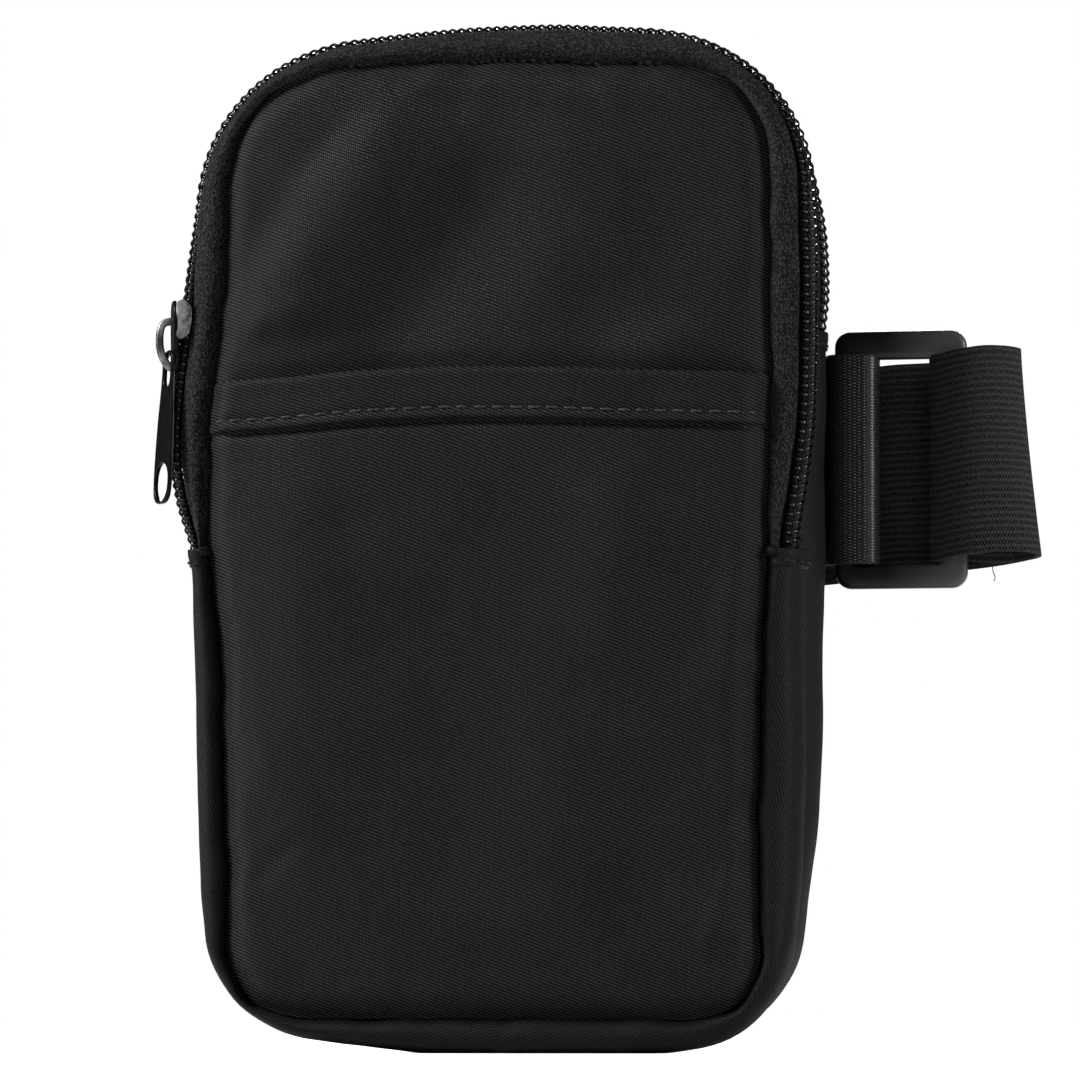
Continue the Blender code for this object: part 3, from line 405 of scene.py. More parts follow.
# a cosine or sine drawn out towards a square wave, for sections with rounded corners
def squared(value, power):
    return np.sign(value) * np.abs(value) ** power


def unit(rows):
    return rows / np.linalg.norm(rows, axis=1)[:, None]


# arrays side by side, as the coordinates of points
def together(*parts):
    return np.stack(np.broadcast_arrays(*parts), axis=-1)


# the columns of some values, read at marks along a line
def sample(marks, along, values):
    return np.column_stack([np.interp(marks, along, column) for column in values.T])


# a smooth curve through control points, resampled to a number of points
def smoothCurve(points, count):
    p = np.array(points, float)
    ends = np.vstack([2 * p[0] - p[1], p, 2 * p[-1] - p[-2]])
    fine = []
    for a, b, c, d in zip(ends, ends[1:], ends[2:], ends[3:]):
        for t in np.arange(0, 1, 0.05):
            fine.append(0.5 * (2 * b + (c - a) * t + (2 * a - 5 * b + 4 * c - d) * t ** 2
                               + (3 * b - a - 3 * c + d) * t ** 3))
    fine = np.array(fine + [p[-1]])
    along = lengthAlong(fine)
    return sample(np.linspace(0, along[-1], count), along, fine)


# soft unevenness at some points: waves, each of a height, a size and a seed
def unevenness(points, waves, shift=0.0):
    total = 0.0
    for height, size, seed in waves:
        flat = points.reshape(-1, 3) / size + (seed + shift) * np.array([1, -1, 0.37])
        total = total + height * np.array([noise.noise(Vector(p)) for p in flat]).reshape(points.shape[:-1])
    return total


def addPiece(name, vertices, faces, finish, place=None):
    mesh = bpy.data.meshes.new(name)
    mesh.from_pydata([tuple(v) for v in np.array(vertices) * mm], [], faces)
    if place is not None:
        held = mesh.attributes.new("clothPlace", "FLOAT_VECTOR", "POINT")
        three = np.column_stack([place * mm, np.zeros(len(place))])
        held.data.foreach_set("vector", three.astype(np.float32).ravel())
    mesh.materials.append(finish)
    mesh.shade_smooth()
    return addObject(name, mesh)


# faces between the points of a grid, which may close on itself either way
def gridFaces(rows, columns, closedRows=False, closedColumns=False):
    faces = []
    for r in range(rows if closedRows else rows - 1):
        for c in range(columns if closedColumns else columns - 1):
            here, after = r * columns, (r + 1) % rows * columns
            n = (c + 1) % columns
            faces.append((here + c, here + n, after + n, after + c))
    return faces


# a sheet from rows of points; inside is a point that its faces turn away from
def addSheet(name, points, place, finish, thickness=0.0, inside=None, offset=-1.0, closed=False):
    faces = gridFaces(*points.shape[:2], closedColumns=closed)
    a = points[:-1, :-1]
    turn = np.cross(points[:-1, 1:] - a, points[1:, :-1] - a)
    if inside is not None and np.sum(turn * (a - np.array(inside))) < 0:
        faces = [f[::-1] for f in faces]
    made = addPiece(name, points.reshape(-1, 3), faces, finish, place.reshape(-1, 2))
    if thickness:
        shell = made.modifiers.new("thickness", "SOLIDIFY")
        shell.thickness = thickness * mm
        shell.offset = offset
        shell.use_rim = True
    return made


# tubes along paths, each with its radius, in one piece
def addTubes(name, paths, radii, sides, finish):
    vertices, faces, place = [], [], []
    for path, radius in zip(paths, radii):
        count = len(path)
        tangents = unit(np.gradient(path, axis=0))
        t0 = Vector(tangents[0])
        across = t0.orthogonal().normalized()
        sizes = np.broadcast_to(radius, (count,))
        far = lengthAlong(path)
        start = len(vertices)
        for i in range(count):
            t = Vector(tangents[i])
            if i:
                across = t0.rotation_difference(t) @ across
            t0 = t
            other = t.cross(across)
            for k in range(sides):
                a = 2 * math.pi * k / sides
                out = across * math.cos(a) + other * math.sin(a)
                vertices.append(Vector(path[i]) + out * float(sizes[i]))
                place.append((far[i], a * sizes[i]))
        for i in range(count - 1):
            for k in range(sides):
                n = (k + 1) % sides
                p, q = start + i * sides, start + (i + 1) * sides
                faces.append((p + k, q + k, q + n, p + n))
        faces.append(tuple(start + k for k in range(sides)))
        faces.append(tuple(start + (count - 1) * sides + k for k in reversed(range(sides))))
    return addPiece(name, vertices, faces, finish, np.array(place))


# a point of a band: its swell outside the outline, its depth from the front lobe's crest; the rear
# lobe stands the other way round
def bandPoints(stations, swell, depth, lobe):
    x = stations[:, None, 0] + swell * stations[:, None, 2]
    z = np.maximum(stations[:, None, 1] + swell * stations[:, None, 3], 0.0)
    y = depth if lobe < 0 else 2 * pouch["middle"] - depth
    return together(x, y, z)


# a point inside each lobe, from which the faces of its cloth turn away
insideLobe = {-1: (0, 2, 93), 1: (0, 15, 93)}


def placeAlong(stations, points):
    steps = np.linalg.norm(np.diff(points, axis=1, prepend=points[:, :1]), axis=2)
    return together(lengthAlong(stations[:, :2])[:, None], np.cumsum(steps, axis=1))


# the face panels and the slip pocket; a soft value lists height, size and seed of its waves
panels = {
    "crown": {-1: 2.7, 1: 1.2}, "columns": 76, "rowStep": 1.5,
    "seamSink": 2.5, "seamRoll": 2.3,       # the cloth turns in at its seams
    "cloth": 0.7, "pocketCloth": 0.5, "dividerCloth": 0.5, "pocketLift": 1.3,
    "reach": 9, "pocketReach": 8,           # how far from the seams the cloth is free to fold
    "frontSoft": [(0.60, 26, 3.1), (0.16, 9, 7.7)], "pocketSoft": [(0.55, 30, 11.3), (0.14, 9, 5.2)],
    "puckerSoft": [(0.55, 4.5, 21.0)], "backSoft": [(0.30, 28, 6.4)], "dividerSoft": [(0.25, 30, 8.8)],
    "mouth": 123.25, "facing": 9.65, "facingLift": 1.0, "stitchDrop": 7.35,
    # the pocket's mouth wanders, millimetres up by millimetres across
    "mouthLine": [(-52, -0.9), (-37, -0.4), (-24, 0.5), (-7, 0.9), (11, 0.5), (25, -0.2), (50, -0.9)],
    # rows of the pocket's cloth, down from the mouth, close beside the facing and the edge
    "mouthRows": [
        11.0, 10.5, 10.0, 9.7, 9.4, 9.2, 9.0, 8.8, 8.5, 8.0, 7.6, 7.3, 7.0, 6.6, 5.5, 4.5, 3.5, 2.5, 1.6,
        1.0, 0.6, 0.3, 0.1, 0.0],
    "mouthTurn": [(0.05, 0.30), (0.3, 0.70), (1.2, 0.85), (2.4, 0.85)],     # the edge turned in: down, back
    "facingGroove": (0.70, 0.2, 0.6), "stitchGroove": (0.34, 0.0, 0.6),     # depth, place and width
    "edgeSwell": (0.25, 1.2, 1.2), "edgeFall": (0.45, 0.7), "drawnIn": (0.75, 0.2, 1.5),
    "stitch": {"pitch": 3.3, "share": 0.62, "radius": 0.22, "lift": 0.05},
    "folds": {-1: (89.6, 98.6), 1: (129.5, 138.5)},         # where the front and the rear flap bend
}


# the outline's right side, from the bottom edge to the top edge
def rightSide(step):
    found = []
    for over, corner in ((False, "bottomRadius"), (True, "topRadius")):
        run = outlineStations(90, over, step)
        run = run[run[:, 0] >= pouch["halfWidth"] - pouch[corner] - 1e-3]
        found.append(run[np.argsort(run[:, 1])])
    return np.vstack(found)


# both edges of a panel as x and z, moved out from the outline, and the sheet's rows between them
def betweenSides(right, shiftOf, t):
    edges = []
    for run in (right * np.array([-1, 1, -1, 1]), right):
        edges.append(run[:, :2] + shiftOf(run)[:, None] * run[:, 2:])
    return edges, edges[0][:, None, :] * (1 - t) + edges[1][:, None, :] * t


# a panel's points as x and z, how far each stands forward of the seam plane, and how far it lies
# from the panel's edge
def panelGrid(lobe):
    right = rightSide(panels["rowStep"])
    right = right[np.unique(np.round(right[:, 1], 4), return_index=True)[1]]
    u = np.linspace(-1, 1, panels["columns"] + 1)
    u = np.sign(u) * (1 - (1 - np.abs(u)) ** 1.25)      # closer columns beside the seams
    edges, flat = betweenSides(right, partial(seamShift, lobe=lobe), (u[None, :, None] + 1) / 2)
    if lobe < 0:
        # the top rows follow the seam
        x = flat[-1, :, 0]
        level = np.column_stack([x, x * 0 + pouch["top"], x * 0, x * 0 + 1])
        rise = pouch["top"] + seamShift(level, lobe) - flat[-1, :, 1]
        rise[[0, -1]] = 0.0
        flat[..., 1] += rise * smoothStep(flat[..., 1], pouch["top"] - 22, pouch["top"])
    rim = np.vstack([*edges, flat[0], flat[-1]])
    away = np.array([np.linalg.norm(row[:, None] - rim, axis=2).min(axis=1) for row in flat])
    share = (flat[..., 1] - pouch["bottom"]) / (pouch["top"] - pouch["bottom"])
    dome = panels["crown"][lobe] * (1 - np.abs(u) ** 3) * (1 - np.abs(2 * share - 1) ** 4)
    return flat, dome - panels["seamSink"] * bell(away, 0, panels["seamRoll"]), away


def asPanel(flat, forward, lobe):
    y = -pouch["seamDepth"] - forward
    if lobe > 0:
        y = 2 * pouch["middle"] - y
    return together(flat[..., 0], y, flat[..., 1])


# soft folds in a face panel, each a ridge or hollow along a line: its ends as x and z, its width
# and its height
def creases(flat, lines):
    total = np.zeros(flat.shape[:2])
    for start, end, width, height in lines:
        d = np.array(end, float) - start
        size = np.linalg.norm(d)
        d = d / size
        off = flat - start
        along = off @ d / size
        side = off[..., 0] * -d[1] + off[..., 1] * d[0]
        fade = smoothStep(along, -0.15, 0.3) * (1 - smoothStep(along, 0.7, 1.15))
        total += height * fade * bell(side, 0, width)
    return total


frontFolds = [
    ((-46, 128), (-14, 170), 9.0, 2.4), ((-24, 124), (8, 166), 12.0, -1.8),
    ((-47, 146), (-26, 171), 4.0, -0.50),
    ((-38, 156), (-16, 172), 3.0, 0.45), ((12, 128), (40, 160), 13.0, -1.2), ((22, 124), (46, 132), 5.0, 0.9),
    ((-49, 131), (-30, 137), 2.2, 0.55), ((-48, 128), (-26, 131), 2.6, -0.50),
    ((10, 150), (44, 136), 7.0, 0.60), ((-8, 172), (34, 168), 4.5, -0.45),
    ((-11, 178), (-5, 170), 2.2, -0.55), ((18, 178), (24, 168), 2.6, 0.40),
]
pocketFolds = [
    ((38, 17), (45, 36), 1.6, 0.55), ((42, 14), (48, 33), 1.6, -0.50), ((-46, 30), (-34, 40), 1.3, -0.40),
    ((-47, 24), (-37, 13), 2.6, 0.45), ((-40, 44), (-46, 74), 4.5, 0.50), ((30, 60), (46, 100), 6.0, -0.60),
    ((-30, 26), (26, 20), 6.0, 0.50), ((-34, 30), (-36, 104), 9.0, 1.3), ((-6, 24), (-4, 100), 14.0, -1.3),
    ((28, 20), (30, 56), 9.0, -1.0), ((20, 70), (24, 108), 8.0, 0.9), ((-38, 90), (-10, 104), 6.0, -0.45),
    ((43, 40), (44, 96), 2.4, 0.50),
]


# folds and unevenness that die out towards the seams, where the seam gathers the cloth instead
def cloth(flat, base, away, lobe, reach, soft, folds=()):
    points = asPanel(flat, base, lobe)
    moved = smoothStep(away, 0.5, reach) * (creases(flat, folds) + unevenness(points, soft))
    if lobe < 0:
        moved += smoothStep(away, 0.3, 1.5) * bell(away, 0, 5) * unevenness(points, panels["puckerSoft"])
    return moved


# bakes the piece's placement into its mesh
def bendAtFold(made):
    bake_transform(made)


def makeFrontPanel():
    flat, base, away = panelGrid(-1)
    forward = base + cloth(flat, base, away, -1, panels["reach"], panels["frontSoft"], frontFolds)
    # the cloth is drawn in behind the pocket's mouth, and stays behind the pocket
    deep, above, width = panels["drawnIn"]
    line = panels["mouth"] + lookUp(panels["mouthLine"], flat[..., 0])
    forward -= smoothStep(away, 0.5, panels["reach"]) * deep * bell(flat[..., 1] - line, above, width)
    low = smoothStep(flat[..., 1], panels["mouth"] - 12, panels["mouth"] - 4)
    forward = forward * low + np.minimum(forward, base) * (1 - low)
    made = addSheet("frontPanelCloth", asPanel(flat, forward, -1), flat, faceTwill, panels["cloth"],
                    insideLobe[-1])
    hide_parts("front_panel_lower", "front_panel_upper")
    bendAtFold(made)


# the pocket's cloth up to its mouth, where a folded facing makes a raised band; gives the line of
# the facing's stitches
def makeSlipPocket():
    flat, base, away = panelGrid(-1)
    z = flat[:, 0, 1]
    whole = np.dstack([flat, base, away])
    levels = np.concatenate([z[z < panels["mouth"] - 11.5], panels["mouth"] - np.array(panels["mouthRows"])])
    k = np.clip(np.searchsorted(z, levels), 1, len(z) - 1)
    t = ((levels - z[k - 1]) / (z[k] - z[k - 1]))[:, None, None]
    rows = whole[k - 1] * (1 - t) + whole[k] * t
    flat, base, away = rows[..., :2], rows[..., 2], rows[..., 3]
    height = flat[..., 1].copy()
    drop = panels["mouth"] - height
    flat[..., 1] += lookUp(panels["mouthLine"], flat[..., 0]) * smoothStep(
        height, panels["mouth"] - 30, panels["mouth"] - 9)
    forward = base + panels["pocketLift"] * (0.3 + 0.7 * smoothStep(away, 0.0, 5))
    forward += cloth(flat, base, away, -1, panels["pocketReach"], panels["pocketSoft"], pocketFolds)
    forward += panels["facingLift"] * smoothStep(away, -1, 4) * smoothStep(
        drop, panels["facing"] + 0.1, panels["facing"] - 0.7)
    for line, groove in (("facing", "facingGroove"), ("stitchDrop", "stitchGroove")):
        deep, below, width = panels[groove]
        forward -= deep * bell(drop, panels[line] + below, width)
    high, below, width = panels["edgeSwell"]
    forward += high * bell(drop, below, width) * smoothStep(away, 0.5, panels["pocketReach"])
    forward -= panels["edgeFall"][0] * smoothStep(drop, panels["edgeFall"][1], 0.0)
    # the edge turns in over the front panel
    turned = np.array([flat[-1] - (0, down) for down, back in panels["mouthTurn"]])
    sunk = np.array([forward[-1] - back for down, back in panels["mouthTurn"]])
    place = np.concatenate([together(flat[..., 0], height), turned])
    points = asPanel(np.concatenate([flat, turned]), np.concatenate([forward, sunk]), -1)
    made = addSheet("slipPocketCloth", points, place, faceTwill, panels["pocketCloth"], insideLobe[-1])
    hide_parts("pocket_panel_lower", "pocket_panel_upper", "pocket_facing")
    bendAtFold(made)
    return points[int(np.argmin(np.abs(drop[:, 0] - panels["stitchDrop"])))]


# lockstitch: short lengths of thread that dip into the cloth at both ends
def addStitches(name, line, outward, pitch, share, radius, finish, lift=0.0):
    along = lengthAlong(line)
    count = int(along[-1] / pitch)
    start = (along[-1] - count * pitch) / 2 + pitch * (1 - share) / 2
    arch = radius * np.array([-1.3, -0.4, 0.35, 0.6, 0.35, -0.4, -1.3]) + lift
    paths = []
    for i in range(count):
        marks = start + i * pitch + pitch * share * np.array([0, 0.06, 0.2, 0.5, 0.8, 0.94, 1.0])
        paths.append(sample(marks, along, line) + sample(marks, along, outward) * arch[:, None])
    sizes = radius * np.array([0.7, 0.95, 1.0, 1.05, 1.0, 0.95, 0.7])
    return addTubes(name, paths, [sizes] * count, 7, finish)


print("stage: cloth panels")
makeFrontPanel()
stitchRow = makeSlipPocket()[2:-2]
pocketStitches = addStitches("pocketTopstitch", stitchRow, np.tile([0.0, -1.0, 0.0], (len(stitchRow), 1)),
                             finish=topThread, **panels["stitch"])
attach(pocketStitches, "front_flap")


# the fabric side bands, each with a doubled hem over the ends of its zip
sideBands = {
    "cloth": 0.7, "hemDepth": 3.1, "hemLift": 0.45, "across": 26, "frontHemDip": 1.2,
    "frontShares": [(0.42, -0.97), (0.74, -0.80), (0.94, -0.45), (1.0, -0.05)],     # of swell, of seam depth
    "rearShares": [(1.0, 0.20), (0.935, 0.48), (0.78, 0.74)],       # of swell, of the middle
    "valleyPoints": [(0.25, 0.9), (-0.9, 0.4), (-1.9, 0.03)],       # out from the valley, before the middle
    "hemRows": [0.0, 0.25, 0.6, 1.2, 2.0, 2.6, 2.9, 3.1, 3.3, 3.6, 4.2, 5.0],       # down from the hem's top
    "hemRoll": [(1.2, 1.3), (0.25, 0.9), (0.0, 0.35)],      # the hem's top rolls in over the tape: down, in
    "hemStitch": 2.3, "hemGroove": (0.22, 0.5), "soft": [(0.45, 17, 2.0), (0.12, 6, 4.0)], "gathers": 0.30,
    "dipRun": (20, 5), "calm": (2, 14),     # down from the hem: where its dip sets in, where it lies calm
    "stitch": {"pitch": 3.0, "share": 0.7, "radius": 0.19},
    # how far each band swells past the outline, millimetres by distance from the top
    "frontSwell": [
        (-242, 6.6), (-232, 5.0), (-223, 3.6), (-217, 3.0), (-211, 3.2), (-204, 3.8), (-199, 4.5),
        (-190, 5.5), (-178, 6.1), (-150, 6.7), (-140, 7.0), (-132, 7.3), (-128, 8.0), (128, 6.4),
        (134, 5.2), (141, 5.1), (173, 5.4), (190, 4.6), (199, 3.7), (205, 3.4), (209, 3.7), (217, 4.9),
        (223, 5.7), (232, 6.5), (242, 7.0)],
    "rearSwell": [
        (-242, 6.8), (-232, 4.8), (-223, 2.9), (-217, 2.1), (-209, 1.6), (-199, 2.3), (-190, 3.6),
        (-180, 5.3), (-150, 6.2), (-88, 6.8), (88, 6.8), (150, 6.2), (180, 5.3), (190, 3.6), (199, 2.3),
        (209, 1.6), (217, 2.1), (223, 2.9), (232, 4.8), (242, 6.8)],
}


# a band's section, from its front seam to the valley, raised where the hem is doubled
def sideProfile(shift, lift, swell, valley):
    seam, middle, sink = pouch["seamDepth"], pouch["middle"], panels["seamSink"]
    points = [(shift + 0.15, -seam + sink), (shift + 0.55, -seam + sink * 0.45)]
    points += [(shift + (swell - shift) * s, seam * d) for s, d in sideBands["frontShares"]]
    points += [(swell * s, middle * d) for s, d in sideBands["rearShares"]]
    points += [(valley + out, middle - before) for out, before in sideBands["valleyPoints"]]
    curve = smoothCurve(points, sideBands["across"])
    along = unit(np.gradient(curve, axis=0))
    fade = np.sin(np.pi * np.linspace(0.03, 0.97, len(curve))) ** 0.35
    return curve + np.column_stack([along[:, 1], -along[:, 0]]) * lift * fade[:, None]


def makeSideBand(label, lobe, hem):
    fine = hem - np.array(sideBands["hemRows"])
    body = outlineStations(hem, False)
    body = body[body[:, 1] < fine[-1] - 0.8]
    right = [(pouch["halfWidth"], z, 1, 0) for z in fine]
    left = [(-pouch["halfWidth"], z, -1, 0) for z in fine[::-1]]
    stations = np.vstack([right, body, left])
    dip = sideBands["frontHemDip"] * (lobe < 0) * (stations[:, 0] > 0)
    low, high = sideBands["dipRun"]
    stations[:, 1] -= dip * smoothStep(stations[:, 1], hem - low, hem - high)
    drop = hem - dip - stations[:, 1]
    single = smoothStep(drop, sideBands["hemDepth"] - 0.15, sideBands["hemDepth"] + 0.25)
    lifts = sideBands["hemLift"] * (1 - single)
    lifts -= sideBands["hemGroove"][0] * bell(drop, sideBands["hemStitch"], sideBands["hemGroove"][1])
    shift = seamShift(stations, lobe)
    far = fromTop(stations)
    swells = alongTable(sideBands[f"{label}Swell"], far)
    valleys = np.minimum(pouch["valley"] - alongTable(pouch["valleyTuck"], far), 0.62 * swells)
    curves = np.array([sideProfile(*row) for row in zip(shift, lifts, swells, valleys)])
    swell, depth = curves[..., 0], curves[..., 1]
    points = bandPoints(stations, swell, depth, lobe)
    place = placeAlong(stations, points)
    share = np.linspace(0, 1, sideBands["across"])
    calm = smoothStep(drop, *sideBands["calm"])[:, None] * np.sin(np.pi * share) ** 0.8
    # small gathers where the band turns the bottom corners
    along = lengthAlong(stations[:, :2])[:, None]
    corner = (np.abs(stations[:, 2]) * np.abs(stations[:, 3]) * 2)[:, None]
    gathers = corner * np.exp(-share / 0.22) * sideBands["gathers"]
    gathers = gathers * np.sin(along / 2.1 + 1.5 * np.sin(along / 7))
    swell = swell + calm * unevenness(points, sideBands["soft"], lobe) + gathers
    points = bandPoints(stations, swell, depth, lobe)
    ends = []
    for end, out in ((0, 1), (-1, -1)):
        rows = []
        for down, deep in sideBands["hemRoll"]:
            row = points[end].copy()
            row[:, 0] -= out * deep * 0.9
            row[:, 1] += (pouch["middle"] - row[:, 1]) * deep / 32
            row[:, 2] -= down
            rows.append(row)
        ends.append(rows[::out])
    points = np.concatenate([ends[0], points, ends[1]])
    place = np.concatenate([place[:1].repeat(3, axis=0), place, place[-1:].repeat(3, axis=0)])
    made = addSheet(f"{label}SideBandCloth", points, place, sideTwill, sideBands["cloth"], insideLobe[lobe])
    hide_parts(f"{label}_gusset", f"{label}_hem_left", f"{label}_hem_right")
    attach(made, "pouch")
    # the hem's row of stitches at each end
    for end, name in ((0, "Right"), (-1, "Left")):
        lift = sideProfile(shift[end], sideBands["hemLift"] * 0.55, swells[end], valleys[end])
        x, z, outward = stations[end, :3]
        level = np.array([[x, z - sideBands["hemStitch"], outward, 0.0]])
        line = bandPoints(level, lift[None, :, 0], lift[None, :, 1], lobe)[0][3:-3]
        out = np.gradient(line, axis=0)
        out = unit(np.column_stack([out[:, 1], -out[:, 0], 0 * out[:, 0]]))
        if np.sum(out * (line - np.array([0, pouch["middle"] if lobe > 0 else 2, line[0, 2]]))) < 0:
            out = -out
        row = addStitches(f"{label}HemStitch{name}", line, out, finish=seamThread, **sideBands["stitch"])
        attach(row, "pouch")


# zip: tapes, both halves of a continuous coil, and the chain stitch that holds each half; the
# tables give values by distance from the top
zips = {
    "tape": 0.6, "columns": 26, "step": 1.3, "soft": [(0.30, 7, 9.0), (0.10, 3, 1.0)], "chainDepth": 1.2,
    "tapeEnd": 2.6, "coilEnd": 2.2,         # how far they reach down into the hem
    "coilOut": 2.6, "coilOver": 0.3, "coilLow": 0.30, "coilTop": 2.2, "filament": 0.36, "pitch": 1.66,
    "perTurn": 16,
    "core": [(-131, 0.82), (-72, 0.82), (-60, 0.5), (48, 0.5), (62, 0.7), (131, 0.7)],      # its radius
    "coreAcross": 1.15, "coreLow": 0.43,
    "spread": 0.7, "spreadStart": 1.5, "spreadRun": 5.0,        # the chain parts below the slider
    "stitchAcross": 1.45, "threadPly": 0.15, "frontSlider": 130.0, "rearSlider": 139.5,
    # how far the chain's plane stands outside the outline
    "frontPlane": [
        (-131, 4.0), (-128, 4.7), (-123, 6.8), (-117, 8.6), (-110, 9.6), (-104, 9.6), (-97, 8.8),
        (-92, 8.1), (-88, 7.3), (-82, 6.8), (-75, 5.9), (-68, 4.7), (-60, 3.8), (-50, 2.9), (-45, 2.5),
        (-35, 2.1), (-28, 2.4), (-18, 3.4), (-5, 4.2), (10, 4.4), (20, 3.7), (30, 3.1), (40, 3.5),
        (50, 4.2), (60, 4.8), (68, 5.3), (77, 5.6), (92, 5.6), (105, 5.2), (115, 4.1), (122, 2.9),
        (128, 1.8)],
    "rearPlane": [
        (-90, 5.2), (-88, 5.9), (-74, 5.9), (-68, 5.2), (-55, 3.5), (-45, 2.6), (-30, 2.6), (0, 3.6),
        (26, 3.0), (45, 2.3), (57, 2.2), (62, 2.8), (68, 4.1), (77, 4.7), (85, 4.6), (89, 3.6)],
    # degrees by which the chain faces forwards
    "facing": [(-130, -3), (-120, 6), (-112, 17), (-105, 22), (-90, 22), (-82, 18.8), (-76, 12), (-68, 8),
               (-30, 2), (30, 2), (50, 3), (60, 9), (72, 18.8)],
    # a pleat of tape stands up along each side of the chain
    "pleat": [(-131, 0.35), (-105, 0.45), (-92, 0.75), (-80, 1.0), (-66, 1.35), (48, 1.35), (62, 0.75),
              (131, 0.75)],
    "pleatAcross": 3.35,
}


# the halves of a zip: its side, its name and the body that carries it
def zipHalves(lobe):
    return (-1, "Panel", "front_flap" if lobe < 0 else "rear_flap"), (1, "Divider", "pouch")


# swell and depth of a point of the chain: across it, and out from its tape
def chainPoint(across, height, far, lobe):
    plane = alongTable(zips["frontPlane" if lobe < 0 else "rearPlane"], far)
    turn = np.radians(alongTable(zips["facing"], far))
    sn, cs = np.sin(turn), np.cos(turn)
    swell = plane + across * sn + height * cs
    return np.broadcast_arrays(swell, -zips["chainDepth"] + across * cs - height * sn)


def chainSpread(stations, sliderHeight):
    t = smoothStep(sliderHeight + zips["spreadStart"] - stations[:, 1], 0.0, zips["spreadRun"])
    return np.where(stations[:, 2] < -0.999, t * zips["spread"], 0.0)


def makeTapes(label, lobe, hem, sliderHeight):
    stations = outlineStations(hem - zips["tapeEnd"], True, zips["step"])
    far = fromTop(stations)
    shift = seamShift(stations, lobe)
    valley = pouch["valley"] - alongTable(pouch["valleyTuck"], far)
    spread = chainSpread(stations, sliderHeight)
    seam, middle, sink, side = pouch["seamDepth"], pouch["middle"], panels["seamSink"], zips["pleatAcross"]
    pleat = alongTable(zips["pleat"], far)

    def point(across, height):
        return np.column_stack(chainPoint(across, height, far, lobe))

    def column(swell, depth):
        return np.column_stack([swell, np.full(len(far), depth)])

    base, crest, edge = point(-side - 0.9, -0.1), point(-side, pleat), column(shift, -seam)
    paths = {
        "Panel": [edge + (-0.5, sink * 1.25), edge + (0.45, sink * 0.5),
                  edge * 0.45 + base * 0.55 + (0.25, -0.35), crest + (-0.25, -0.2), crest,
                  point(-side + 0.45, pleat * 0.55),
                  point(-zips["coilOut"] + 0.1, -0.05), point(-(0.15 + spread), 0.0)],
        "Divider": [point(0.15 + spread, 0.0), point(zips["coilOut"] - 0.1, -0.05),
                    point(side - 0.45, pleat * 0.45), point(side, pleat * 0.7), point(side + 0.8, 0.1),
                    column(valley + (crest[:, 0] - valley) * 0.7, middle * 0.70),
                    column(valley + 0.1, middle - 0.9), column(valley - 0.8, middle - 0.4),
                    column(valley - 1.8, middle - 0.03)]}
    fade = np.sin(np.pi * np.linspace(0, 1, zips["columns"]))
    for half, name, body in zipHalves(lobe):
        curves = np.array([smoothCurve(path, zips["columns"]) for path in np.stack(paths[name], axis=1)])
        points = bandPoints(stations, curves[..., 0], curves[..., 1], lobe)
        place = placeAlong(stations, points)
        swell = curves[..., 0] + unevenness(points, zips["soft"]) * fade
        points = bandPoints(stations, swell, curves[..., 1], lobe)
        made = addSheet(f"{label}{name}Tape", points, place, zipTape, zips["tape"], insideLobe[lobe])
        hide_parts(f"{label}_zip_{name.lower()}_tape")
        if half < 0:
            bendAtFold(made)
        else:
            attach(made, body)


def makeCoils(label, lobe, hem, sliderHeight):
    stations = outlineStations(hem - zips["coilEnd"], True, zips["step"])
    lengths = lengthAlong(stations[:, :2])
    pitch, wire = zips["pitch"], zips["filament"]
    outEdge, inEdge = zips["coilOut"] - wire, -zips["coilOver"] + wire
    low, top = zips["coilLow"] + wire, zips["coilTop"] - wire

    def onChain(half, d, across, height):
        at = sample(d, lengths, stations)
        at[:, 2:] = unit(at[:, 2:])
        spread = chainSpread(at, sliderHeight)
        swell, depth = chainPoint(half * (across + spread), height, d - lengths[-1] / 2, lobe)
        return bandPoints(at, swell[:, None], depth[:, None], lobe)[:, 0]

    for half, name, body in zipHalves(lobe):
        turn = np.arange(int(lengths[-1] / pitch) * zips["perTurn"]) / zips["perTurn"]
        d = (turn + (0.0 if half < 0 else 0.5)) * pitch         # one half's loops lie between the other's
        turn, d = turn[d < lengths[-1]], d[d < lengths[-1]]
        a = (outEdge + inEdge) / 2 + (outEdge - inEdge) / 2 * squared(np.cos(2 * np.pi * turn), 0.75)
        h = (low + top) / 2 + (top - low) / 2 * squared(np.sin(2 * np.pi * turn), 0.7)
        made = addTubes(f"{label}{name}Coil", [onChain(half, d, a, h)], [wire], 8, coilFinish)
        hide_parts(f"{label}_zip_{name.lower()}_coil")
        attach(made, body)
        # a core cord fills the coil
        d = np.arange(0.0, lengths[-1], 1.0)
        radius = alongTable(zips["core"], d - lengths[-1] / 2)
        core = onChain(half, d, np.full(len(d), zips["coreAcross"]), zips["coreLow"] + radius)
        made = addTubes(f"{label}{name}CoilCore", [core], [radius], 8, seamThread)
        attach(made, body)
        # two plies of the chain stitch lie over the coil
        d = np.arange(0.6, lengths[-1] - 0.6, pitch / 7)
        plies = []
        for k in (0, 1):
            angle = np.pi * (d / pitch + k)
            a = zips["stitchAcross"] + 0.20 * np.cos(angle)
            h = zips["coilTop"] + 0.02 + 0.10 * np.sin(angle) - 0.14 * np.cos(2 * np.pi * d / pitch)
            plies.append(onChain(half, d, a, h))
        made = addTubes(f"{label}{name}ChainStitch", plies, [zips["threadPly"]] * 2, 6, coilThread)
        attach(made, body)


